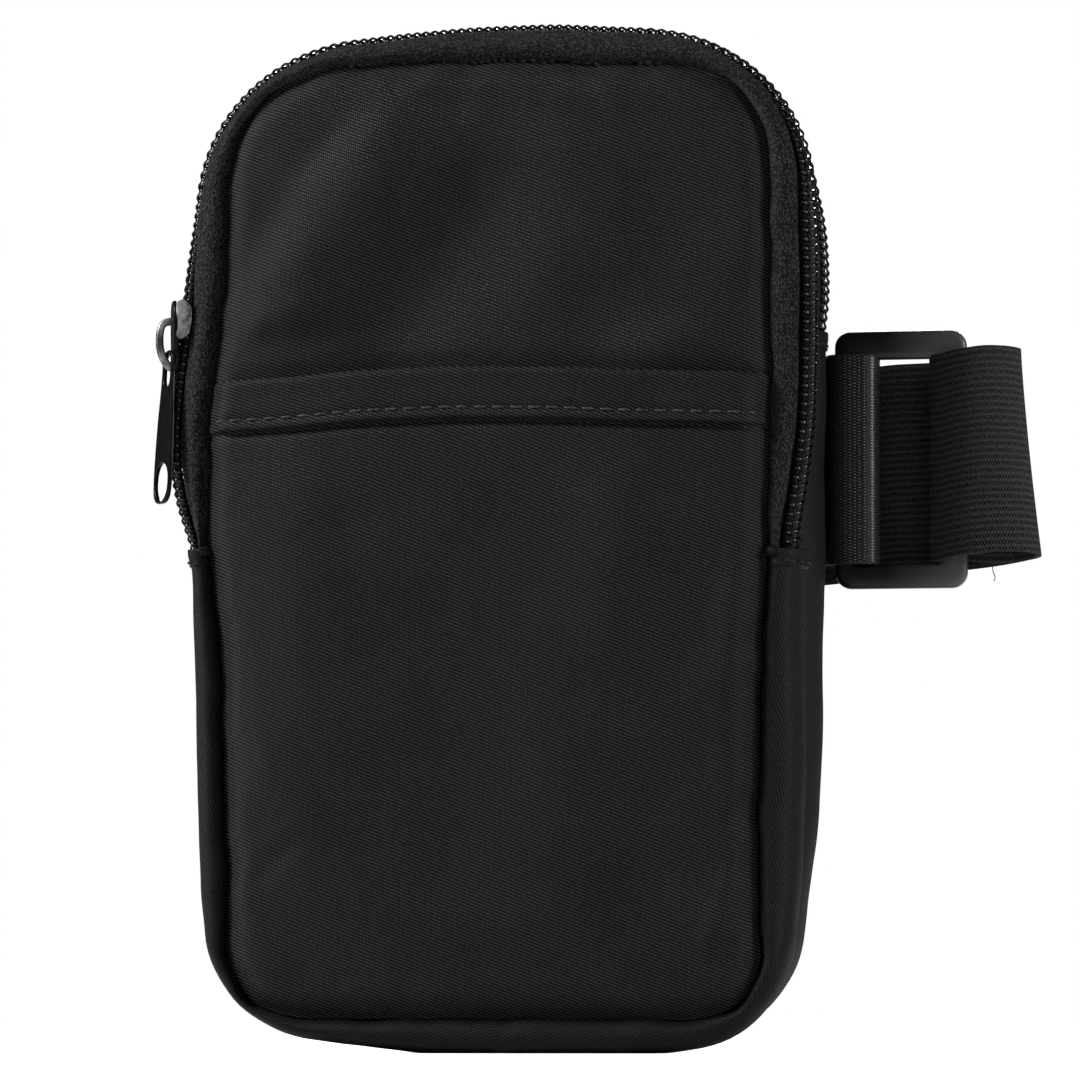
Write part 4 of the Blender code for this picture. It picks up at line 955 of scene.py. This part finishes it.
print("stage: side bands and zips")
for label, lobe in (("front", -1), ("rear", 1)):
    hem, slider = pouch[f"{label}Hem"], zips[f"{label}Slider"]
    makeSideBand(label, lobe, hem)
    makeTapes(label, lobe, hem, slider)
    makeCoils(label, lobe, hem, slider)


def makeBackPanel():
    flat, base, away = panelGrid(1)
    forward = base + cloth(flat, base, away, 1, panels["reach"], panels["backSoft"])
    made = addSheet("backPanelCloth", asPanel(flat, forward, 1), flat, faceTwill, panels["cloth"],
                    insideLobe[1])
    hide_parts("back_panel_lower", "back_panel_upper")
    bendAtFold(made)


# the wall between the two lobes: lining cloth, caught in the side seams
def makeDivider():
    def shiftOf(run):
        return pouch["valley"] - 0.6 - alongTable(pouch["valleyTuck"], fromTop(run))

    flat = betweenSides(rightSide(pouch["step"]), shiftOf, np.linspace(0, 1, 41)[None, :, None])[1]
    points = together(flat[..., 0], pouch["middle"], flat[..., 1])
    inner = smoothStep(pouch["halfWidth"] - np.abs(flat[..., 0]), 0, 12)
    points[..., 1] += inner * unevenness(points, panels["dividerSoft"])
    made = addSheet("dividerCloth", points, flat, liningCloth, panels["dividerCloth"], None, 0.0)
    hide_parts("divider_panel")
    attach(made, "pouch")


makeBackPanel()
makeDivider()


# strap, ring and webbing loop on the right
strap = {
    "top": 127.6, "width": 38.0, "elastic": 1.1, "webbing": 1.0,
    "foldIn": 2.2, "foldFlare": 3.6,        # the fold leans out towards the bottom
    # plan of the elastic: behind the pouch, round the fold, round the ring's bar
    "elasticPath": [
        (-48.2, 25.3), (-44.0, 25.8), (-38.6, 26.0), (-20, 26.0), (0, 26.0), (18, 26.0), (36.2, 26.0),
        (42.0, 26.9), (47.5, 28.4), (54.0, 28.65), (60.0, 28.65), (66.8, 28.65), (71.5, 28.6), (76.5, 28.4),
        (81.5, 28.0), (86.0, 27.5), (90.0, 26.8), (92.5, 25.6), (93.9, 23.5), (94.1, 21.2), (93.1, 19.0),
        (90.8, 17.3), (87.6, 16.4), (84.0, 16.4), (80.9, 17.3), (78.4, 18.9), (76.7, 20.6), (76.1, 22.0),
        (76.5, 23.4), (77.9, 24.15), (80.5, 24.25), (84.0, 24.25), (90.6, 24.2)],
    # how much higher than its nominal level it runs, by place across, as far as the fold and then
    # in front, and how much wider or narrower it looks there
    "backRise": [(-48, -17.2), (55, -3.5), (60, -2.9), (86, -0.6), (92, 0.6), (96, 1.3)],
    "frontRise": [(76, -0.5), (80, 0.2), (86, 0.6), (90, 1.0), (96, 1.3)],
    "backWiden": [(54, 0), (60, 0.8), (66, 1.5), (74, 1.0), (84, 0.4), (92, 0)],
    "topArch": [(75, 0), (80, 0.2), (85, 0.7), (89, 0.5), (93, 0)],
    "frontNarrow": [(76, 0), (82, 0.7), (88, 0.9), (94, 0.3)],
    "tailRise": 0.9, "waves": 0.25, "webbingWaves": 0.08,
    "bend": (60.5, 68.5),           # the elastic swings with the ring from here to there
    # plan of the webbing before and after its turn round the ring's inner bar
    "webbingStart": [(51.4, 25.9), (53.0, 26.0), (54.6, 25.9), (57.0, 25.2), (59.9, 24.45), (61.0, 24.45)],
    "webbingTurn": (63.3, 21.8, 2.65),
    "webbingEnd": [(59.9, 19.15), (57.8, 20.05), (56.9, 22.0), (55.0, 23.8), (51.4, 24.65)],
    # a loose end of thread hangs from the elastic's lower edge
    "thread": [(86.4, 27.2, 89.4), (86.5, 27.3, 88.2), (86.9, 27.0, 87.2), (86.7, 26.8, 86.4)],
    "threadRadius": 0.09,
}


# a strap on edge: its line in plan, its width up Z, as rows across its width
def strapRows(line, top, width, waves, seed, near=0.0):
    t = np.concatenate([np.linspace(0, 0.04, 3, endpoint=False), np.linspace(0.04, 0.96, 24),
                        np.linspace(0.96, 1, 4)[1:]])
    drop = np.broadcast_to(width, len(line))[:, None] * t
    x = line[:, :1] + np.reshape(near, (-1, 1)) * (-strap["foldIn"] + strap["foldFlare"] * t ** 1.3)
    points = together(x, line[:, 1:], np.reshape(top, (-1, 1)) - drop)
    points[..., 1] += unevenness(points, [(waves, 14, seed)])
    return points, together(lengthAlong(line)[:, None], drop)


def makeElastic():
    line = smoothCurve(strap["elasticPath"], 300)
    x = line[:, 0]
    fold = int(np.argmax(x))
    bar = fold + int(np.argmin(x[fold:]))
    i = np.arange(len(x))
    stretches = [i <= fold, i <= bar]       # behind, then in front, and beyond them the tail
    back, front, widen, arch, narrow = (
        lookUp(strap[k], x) for k in ("backRise", "frontRise", "backWiden", "topArch", "frontNarrow"))
    rise = np.select(stretches, [back + widen, front + arch], strap["tailRise"] * (1 - smoothStep(x, 76, 86)))
    rise = np.convolve(np.pad(rise, 6, mode="edge"), np.ones(13) / 13, mode="valid")
    width = strap["width"] + np.select(stretches, [widen, arch - narrow], 0.0)
    near = smoothStep(x, 82, 94) * (i <= bar)
    points, place = strapRows(line, strap["top"] + rise, width, strap["waves"], 5.5, near)
    made = addSheet("elasticStrap", points, place, elasticFinish, strap["elastic"], None, 0.0)
    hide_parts("elastic_strap_back", "elastic_strap_end")
    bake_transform(made)
    made = addTubes("looseThread", [smoothCurve(strap["thread"], 14)], [strap["threadRadius"]], 6, seamThread)
    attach(made, "strap_ring")


def makeWebbing():
    x, y, radius = strap["webbingTurn"]
    turn = [(x + radius * math.cos(a), y + radius * math.sin(a))
            for a in np.linspace(math.pi / 2, -math.pi / 2, 9)]
    line = smoothCurve(strap["webbingStart"] + turn + strap["webbingEnd"], 110)
    points, place = strapRows(line, strap["top"] + 0.35, strap["width"] + 0.6, strap["webbingWaves"], 1.5)
    made = addSheet("webbingLoop", points, place[..., ::-1], webbingFinish, strap["webbing"], None, 0.0)
    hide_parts("webbing_tab")
    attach(made, "pouch")


# rows of little hooks stand off the tape
hookPatch = {"tape": 0.4, "back": 0.35, "hook": 0.11, "spacing": 0.22}


def makeHookPatch():
    low, high = (np.array(corner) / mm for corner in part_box("strap_hook_patch"))
    grid = together(np.linspace(low[0], high[0], 24)[:, None], np.linspace(low[2], high[2], 70))
    hooks = hookPatch["hook"] * np.prod(np.sin(grid / hookPatch["spacing"]), axis=-1)
    points = together(grid[..., 0], low[1] + hookPatch["back"] + hooks, grid[..., 1])
    made = addSheet("hookPatchTape", points, grid, hookFinish, hookPatch["tape"], None, 0.0)
    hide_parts("strap_hook_patch")
    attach(made, "strap_ring")


# rectangular ring, its bars rounded like the real moulding
ring = {
    "left": 58.2, "width": 24.3, "depth": 21.8, "thick": 3.0, "bar": 4.5, "topBar": 5.2, "loopBar": 3.4,
    "clearance": 0.20, "corner": 2.9, "innerCorner": 1.2, "turns": 10, "around": 28, "edgePower": 0.45,
}


# a rounded rectangle with the same number of points on each corner and side
def roundedOutline(low, high, corner, turns, between=12):
    found = []
    for sx, sz, start in ((1, -1, -90), (1, 1, 0), (-1, 1, 90), (-1, -1, 180)):
        cx = (high[0] if sx > 0 else low[0]) - sx * corner
        cz = (high[1] if sz > 0 else low[1]) - sz * corner
        for i in range(turns + 1):
            a = math.radians(start + 90 * i / turns)
            found.append((cx + corner * math.cos(a), cz + corner * math.sin(a)))
    closed = []
    for i, (x, z) in enumerate(found):
        closed.append((x, z))
        if (i + 1) % (turns + 1) == 0:
            nx, nz = found[(i + 1) % len(found)]
            closed += [(x + (nx - x) * k / between, z + (nz - z) * k / between) for k in range(1, between)]
    return np.array(closed)


def makeRing():
    middle = strap["top"] - strap["width"] / 2
    height = strap["width"] + 2 * (ring["bar"] + ring["clearance"])
    low, high = (ring["left"], middle - height / 2), (ring["left"] + ring["width"], middle + height / 2)
    outer = roundedOutline(low, high, ring["corner"], ring["turns"])
    inner = roundedOutline(
        (low[0] + ring["loopBar"], low[1] + ring["bar"]), (high[0] - ring["bar"], high[1] - ring["topBar"]),
        ring["innerCorner"], ring["turns"])
    a = 2 * np.pi * np.arange(ring["around"])[:, None] / ring["around"]
    c, s = squared(np.cos(a), ring["edgePower"]), squared(np.sin(a), ring["edgePower"])
    flat = (outer + inner) / 2 + (outer - inner) / 2 * c[..., None]
    rows = together(flat[..., 0], ring["depth"] + ring["thick"] / 2 * s, flat[..., 1])
    faces = gridFaces(*rows.shape[:2], True, True)
    made = addPiece("ringMoulding", rows.reshape(-1, 3), [f[::-1] for f in faces], ringFinish)
    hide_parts("strap_ring")
    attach(made, "strap_ring")


print("stage: strap")
makeRing()
makeElastic()
makeWebbing()
makeHookPatch()


# zip sliders: measures out from the chain's plane, across it and up, from the slider's middle
sliders = {
    "front": (-56.67, -1.38, 131.2), "rear": (-56.67, 18.38, 140.7), "facing": 18.8,
    # half of the outer plate, across and up
    "plate": [
        (0, 6.75), (1.6, 6.7), (2.7, 6.2), (3.5, 5.2), (3.8, 3.6), (3.8, 0.8), (3.5, -0.8), (3.1, -3.0),
        (3.0, -5.4), (2.5, -6.4), (1.5, -6.75), (0, -6.75)],
    "outer": (4.0, 4.9), "inner": (-2.0, -1.1), "plateEase": 0.28,
    # side flange, out and up
    "flange": [(4.4, 6.3), (3.0, 6.7), (1.7, 5.3), (1.6, 3.4), (2.2, 0.3), (4.4, -0.1)],
    "flangeAcross": (3.05, 3.8), "flangeEase": 0.2,
    # half of the wedge that parts the chain, between the plates near the top
    "wedge": [(0, 6.4), (0.9, 6.2), (1.2, 5.2), (0.8, 3.4), (0, 2.4)],
    "wedgeDepth": (-1.3, 4.2), "wedgeEase": 0.15,
    # bar of the bridge, out and up
    "bridge": [
        (3.9, 2.9), (5.2, 2.95), (6.4, 2.6), (7.0, 1.6), (7.2, 0.0), (7.15, -1.6), (6.8, -3.2), (6.1, -4.6),
        (5.4, -5.4), (4.7, -5.7), (3.9, -5.7)],
    "bridgeWide": 2.3, "bridgeThick": 1.4, "bridgeSides": 20, "bridgePower": 0.55,
    # half of the puller, across and up
    "puller": [
        (0, 0.0), (1.3, -0.2), (2.1, -0.9), (2.5, -2.0), (2.6, -5.0), (2.9, -8.5), (3.4, -12.0),
        (3.8, -16.5), (4.0, -20.5), (4.0, -24.3), (3.7, -26.6), (2.8, -27.8), (1.5, -28.35), (0, -28.4)],
    "eye": (-3.8, 1.55, 3.0), "slot": (-24.4, 3.15, 3.5),       # height, half width and half height
    "pullerTop": -2.3, "pullerOut": 5.3, "pullerLean": 1.6, "pullerThick": 0.75, "pullerEase": 0.22,
    "pullerTwist": 16.0, "pullerRun": 30.0,
}


# a flat plate with eased edges from closed outlines, the first one its rim and the rest its holes
def addPlate(name, outlines, low, high, ease, toWorld, finish):
    drawn = bpy.data.curves.new(name + "Outline", "CURVE")
    drawn.dimensions = "2D"
    drawn.fill_mode = "BOTH"
    drawn.extrude = ((high - low) / 2 - ease) * mm
    drawn.bevel_depth = ease * mm
    drawn.bevel_resolution = 2
    drawn.offset = -ease * mm
    for outline in outlines:
        spline = drawn.splines.new("POLY")
        spline.points.add(len(outline) - 1)
        for point, (a, b) in zip(spline.points, outline * mm):
            point.co = (a, b, 0, 1)
        spline.use_cyclic_u = True
    holder = bpy.data.objects.new(name + "Outline", drawn)
    mesh = bpy.data.meshes.new_from_object(holder)
    local = np.array([tuple(v.co) for v in mesh.vertices]) / mm
    local[:, 2] += (low + high) / 2
    faces = [tuple(f.vertices) for f in mesh.polygons]
    bpy.data.objects.remove(holder)
    made = addPiece(name, toWorld(local), faces, finish)
    made.data.set_sharp_from_angle(angle=math.radians(40))
    return made


def bothHalves(half, count=60):
    closed = half + [(-a, b) for a, b in half[-2:0:-1]]
    return smoothCurve(closed + closed[:1], count)[:-1]


# a hole with straight sides and round ends
def oval(z, wide, tall):
    turns = np.linspace(0, 2 * np.pi, 36, endpoint=False)
    c, s = np.cos(turns), np.sin(turns)
    straight = np.sign(s) * (tall - wide) * np.minimum(np.abs(s) * 4, 1)
    return np.column_stack([wide * c, z + wide * s + straight])


def makeSlider(label, lobe):
    turn = math.radians(sliders["facing"])
    out = np.array([-math.cos(turn), lobe * math.sin(turn), 0.0])
    across = np.array([math.sin(turn), lobe * math.cos(turn), 0.0])
    up = np.array([0.0, 0.0, 1.0])
    middle = np.array(sliders[label])

    def flat(local):        # across, up, out
        return middle + local @ np.array([across, up, out])

    def edgewise(local):        # out, up, across
        return middle + local @ np.array([out, up, across])

    body = f"{label}_slider"
    plate = bothHalves(sliders["plate"])
    side = smoothCurve(sliders["flange"] + sliders["flange"][:1], 40)[:-1]
    low, high = sliders["flangeAcross"]
    for name, outline, depths, ease, toWorld, finish in (
            ("Outer", plate, sliders["outer"], sliders["plateEase"], flat, pullerFinish),
            ("Inner", plate, sliders["inner"], sliders["plateEase"], flat, pullerFinish),
            ("FlangeNear", side, (low, high), sliders["flangeEase"], edgewise, sliderFinish),
            ("FlangeFar", side, (-high, -low), sliders["flangeEase"], edgewise, sliderFinish),
            ("Wedge", bothHalves(sliders["wedge"], 24), sliders["wedgeDepth"], sliders["wedgeEase"], flat,
             pullerFinish)):
        made = addPlate(f"{label}Slider{name}", [outline], *depths, ease, toWorld, finish)
        if name == "Outer":
            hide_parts(body)
        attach(made, body)

    path = smoothCurve(sliders["bridge"], 34)
    ahead = unit(np.gradient(path, axis=0))
    a = 2 * np.pi * np.arange(sliders["bridgeSides"]) / sliders["bridgeSides"]
    c = squared(np.cos(a), sliders["bridgePower"]) * sliders["bridgeThick"] / 2
    s = squared(np.sin(a), sliders["bridgePower"]) * sliders["bridgeWide"] / 2
    rows = together(path[:, :1] - ahead[:, 1:] * c, path[:, 1:] + ahead[:, :1] * c, s)
    made = addSheet(f"{label}SliderBar", edgewise(rows), rows[..., :2], sliderFinish, closed=True)
    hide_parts(f"{body}_bridge")
    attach(made, body)

    # the puller hangs a little askew and leans out towards its lower end
    twist = math.radians(sliders["pullerTwist"])
    acrossTurned = across * math.cos(twist) - out * math.sin(twist)
    outTurned = out * math.cos(twist) + across * math.sin(twist)
    top = middle + sliders["pullerTop"] * up + sliders["pullerOut"] * out

    def hanging(local):
        leaning = local + (0, 0, 1) * -local[:, [1]] / sliders["pullerRun"] * sliders["pullerLean"]
        return top + leaning @ np.array([acrossTurned, up, outTurned])

    half = sliders["pullerThick"] / 2
    made = addPlate(f"{label}PullerPlate",
                    [bothHalves(sliders["puller"], 90), oval(*sliders["eye"]), oval(*sliders["slot"])],
                    -half, half, sliders["pullerEase"], hanging, pullerFinish)
    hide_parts(f"{label}_puller")
    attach(made, f"{label}_puller")


makeSlider("front", -1)
makeSlider("rear", 1)
print("stage: sliders made")


# plain pale floor and soft studio light
studio = {
    "floor": "#cfcfcf", "floorSize": 12000, "air": 0.07, "nearLift": 0.76, "farLift": 0.96,
    # name, place, size, power in watts
    "lamps": [("leftLamp", (-1.38, -0.55, 0.95), 0.6, 39.0), ("frontLamp", (0.75, -1.25, 0.60), 0.5, 1.2),
              ("rightLamp", (1.48, -0.42, 0.50), 0.45, 14.0), ("backLamp", (-0.15, 1.60, 0.75), 0.6, 16.0)],
    "lampsAim": (0.0, 0.0, 0.09),
}


def makeStudio():
    floorFinish, add = startMaterial("paintedFloor", {
        "Base Color": studio["floor"], "Roughness": 0.9, "Emission Color": "#ffffff"})
    place = add("TexCoord", {}, out="Object")
    grain = add("TexNoise", {"Scale": 0.4 / mm}, {"Vector": place})
    bump = add("Bump", {"Strength": 0.05, "Distance": 0.05 * mm}, {"Height": grain})
    # the far floor, which the lamps hardly reach, meets the white behind it
    seen = add("LightPath", {}, out="Is Camera Ray")
    away = add("VectorMath", {"operation": "LENGTH"}, {0: place}, "Value")
    need = add("MapRange", {"From Min": 0.15, "From Max": 0.9, "To Min": studio["nearLift"],
                            "To Max": studio["farLift"]}, {"Value": away})
    lift = add("Math", {"operation": "MULTIPLY"}, {0: seen, 1: need})
    linkShader(floorFinish, {"Normal": bump, "Emission Strength": lift})
    size = studio["floorSize"]
    floor = addPiece("floor", [(-size, -size, 0), (size, -size, 0), (size, size, 0), (-size, size, 0)],
                     [(0, 1, 2, 3)], floorFinish)
    for name, where, wide, power in studio["lamps"]:
        light = bpy.data.lights.new(name, "AREA")
        light.shape = "DISK"
        light.size = wide
        light.energy = power
        aim(addObject(name, light), where, Vector(studio["lampsAim"]) - Vector(where))
    world = bpy.data.worlds.new("studioAir")
    bpy.context.scene.world = world
    world.use_nodes = True
    background = world.node_tree.nodes["Background"]
    background.inputs["Color"].default_value = (1, 1, 1, 1)
    ray = addNode(world.node_tree, "LightPath", {}, out="Is Camera Ray")
    either = addNode(world.node_tree, "Math", {"operation": "MAXIMUM"},
                     {0: ray, 1: ray.node.outputs["Is Transmission Ray"]})
    strength = addNode(world.node_tree, "MapRange", {"To Min": studio["air"], "To Max": 1.0},
                       {"Value": either})
    world.node_tree.links.new(strength, background.inputs["Strength"])


makeStudio()
print("stage: studio made")
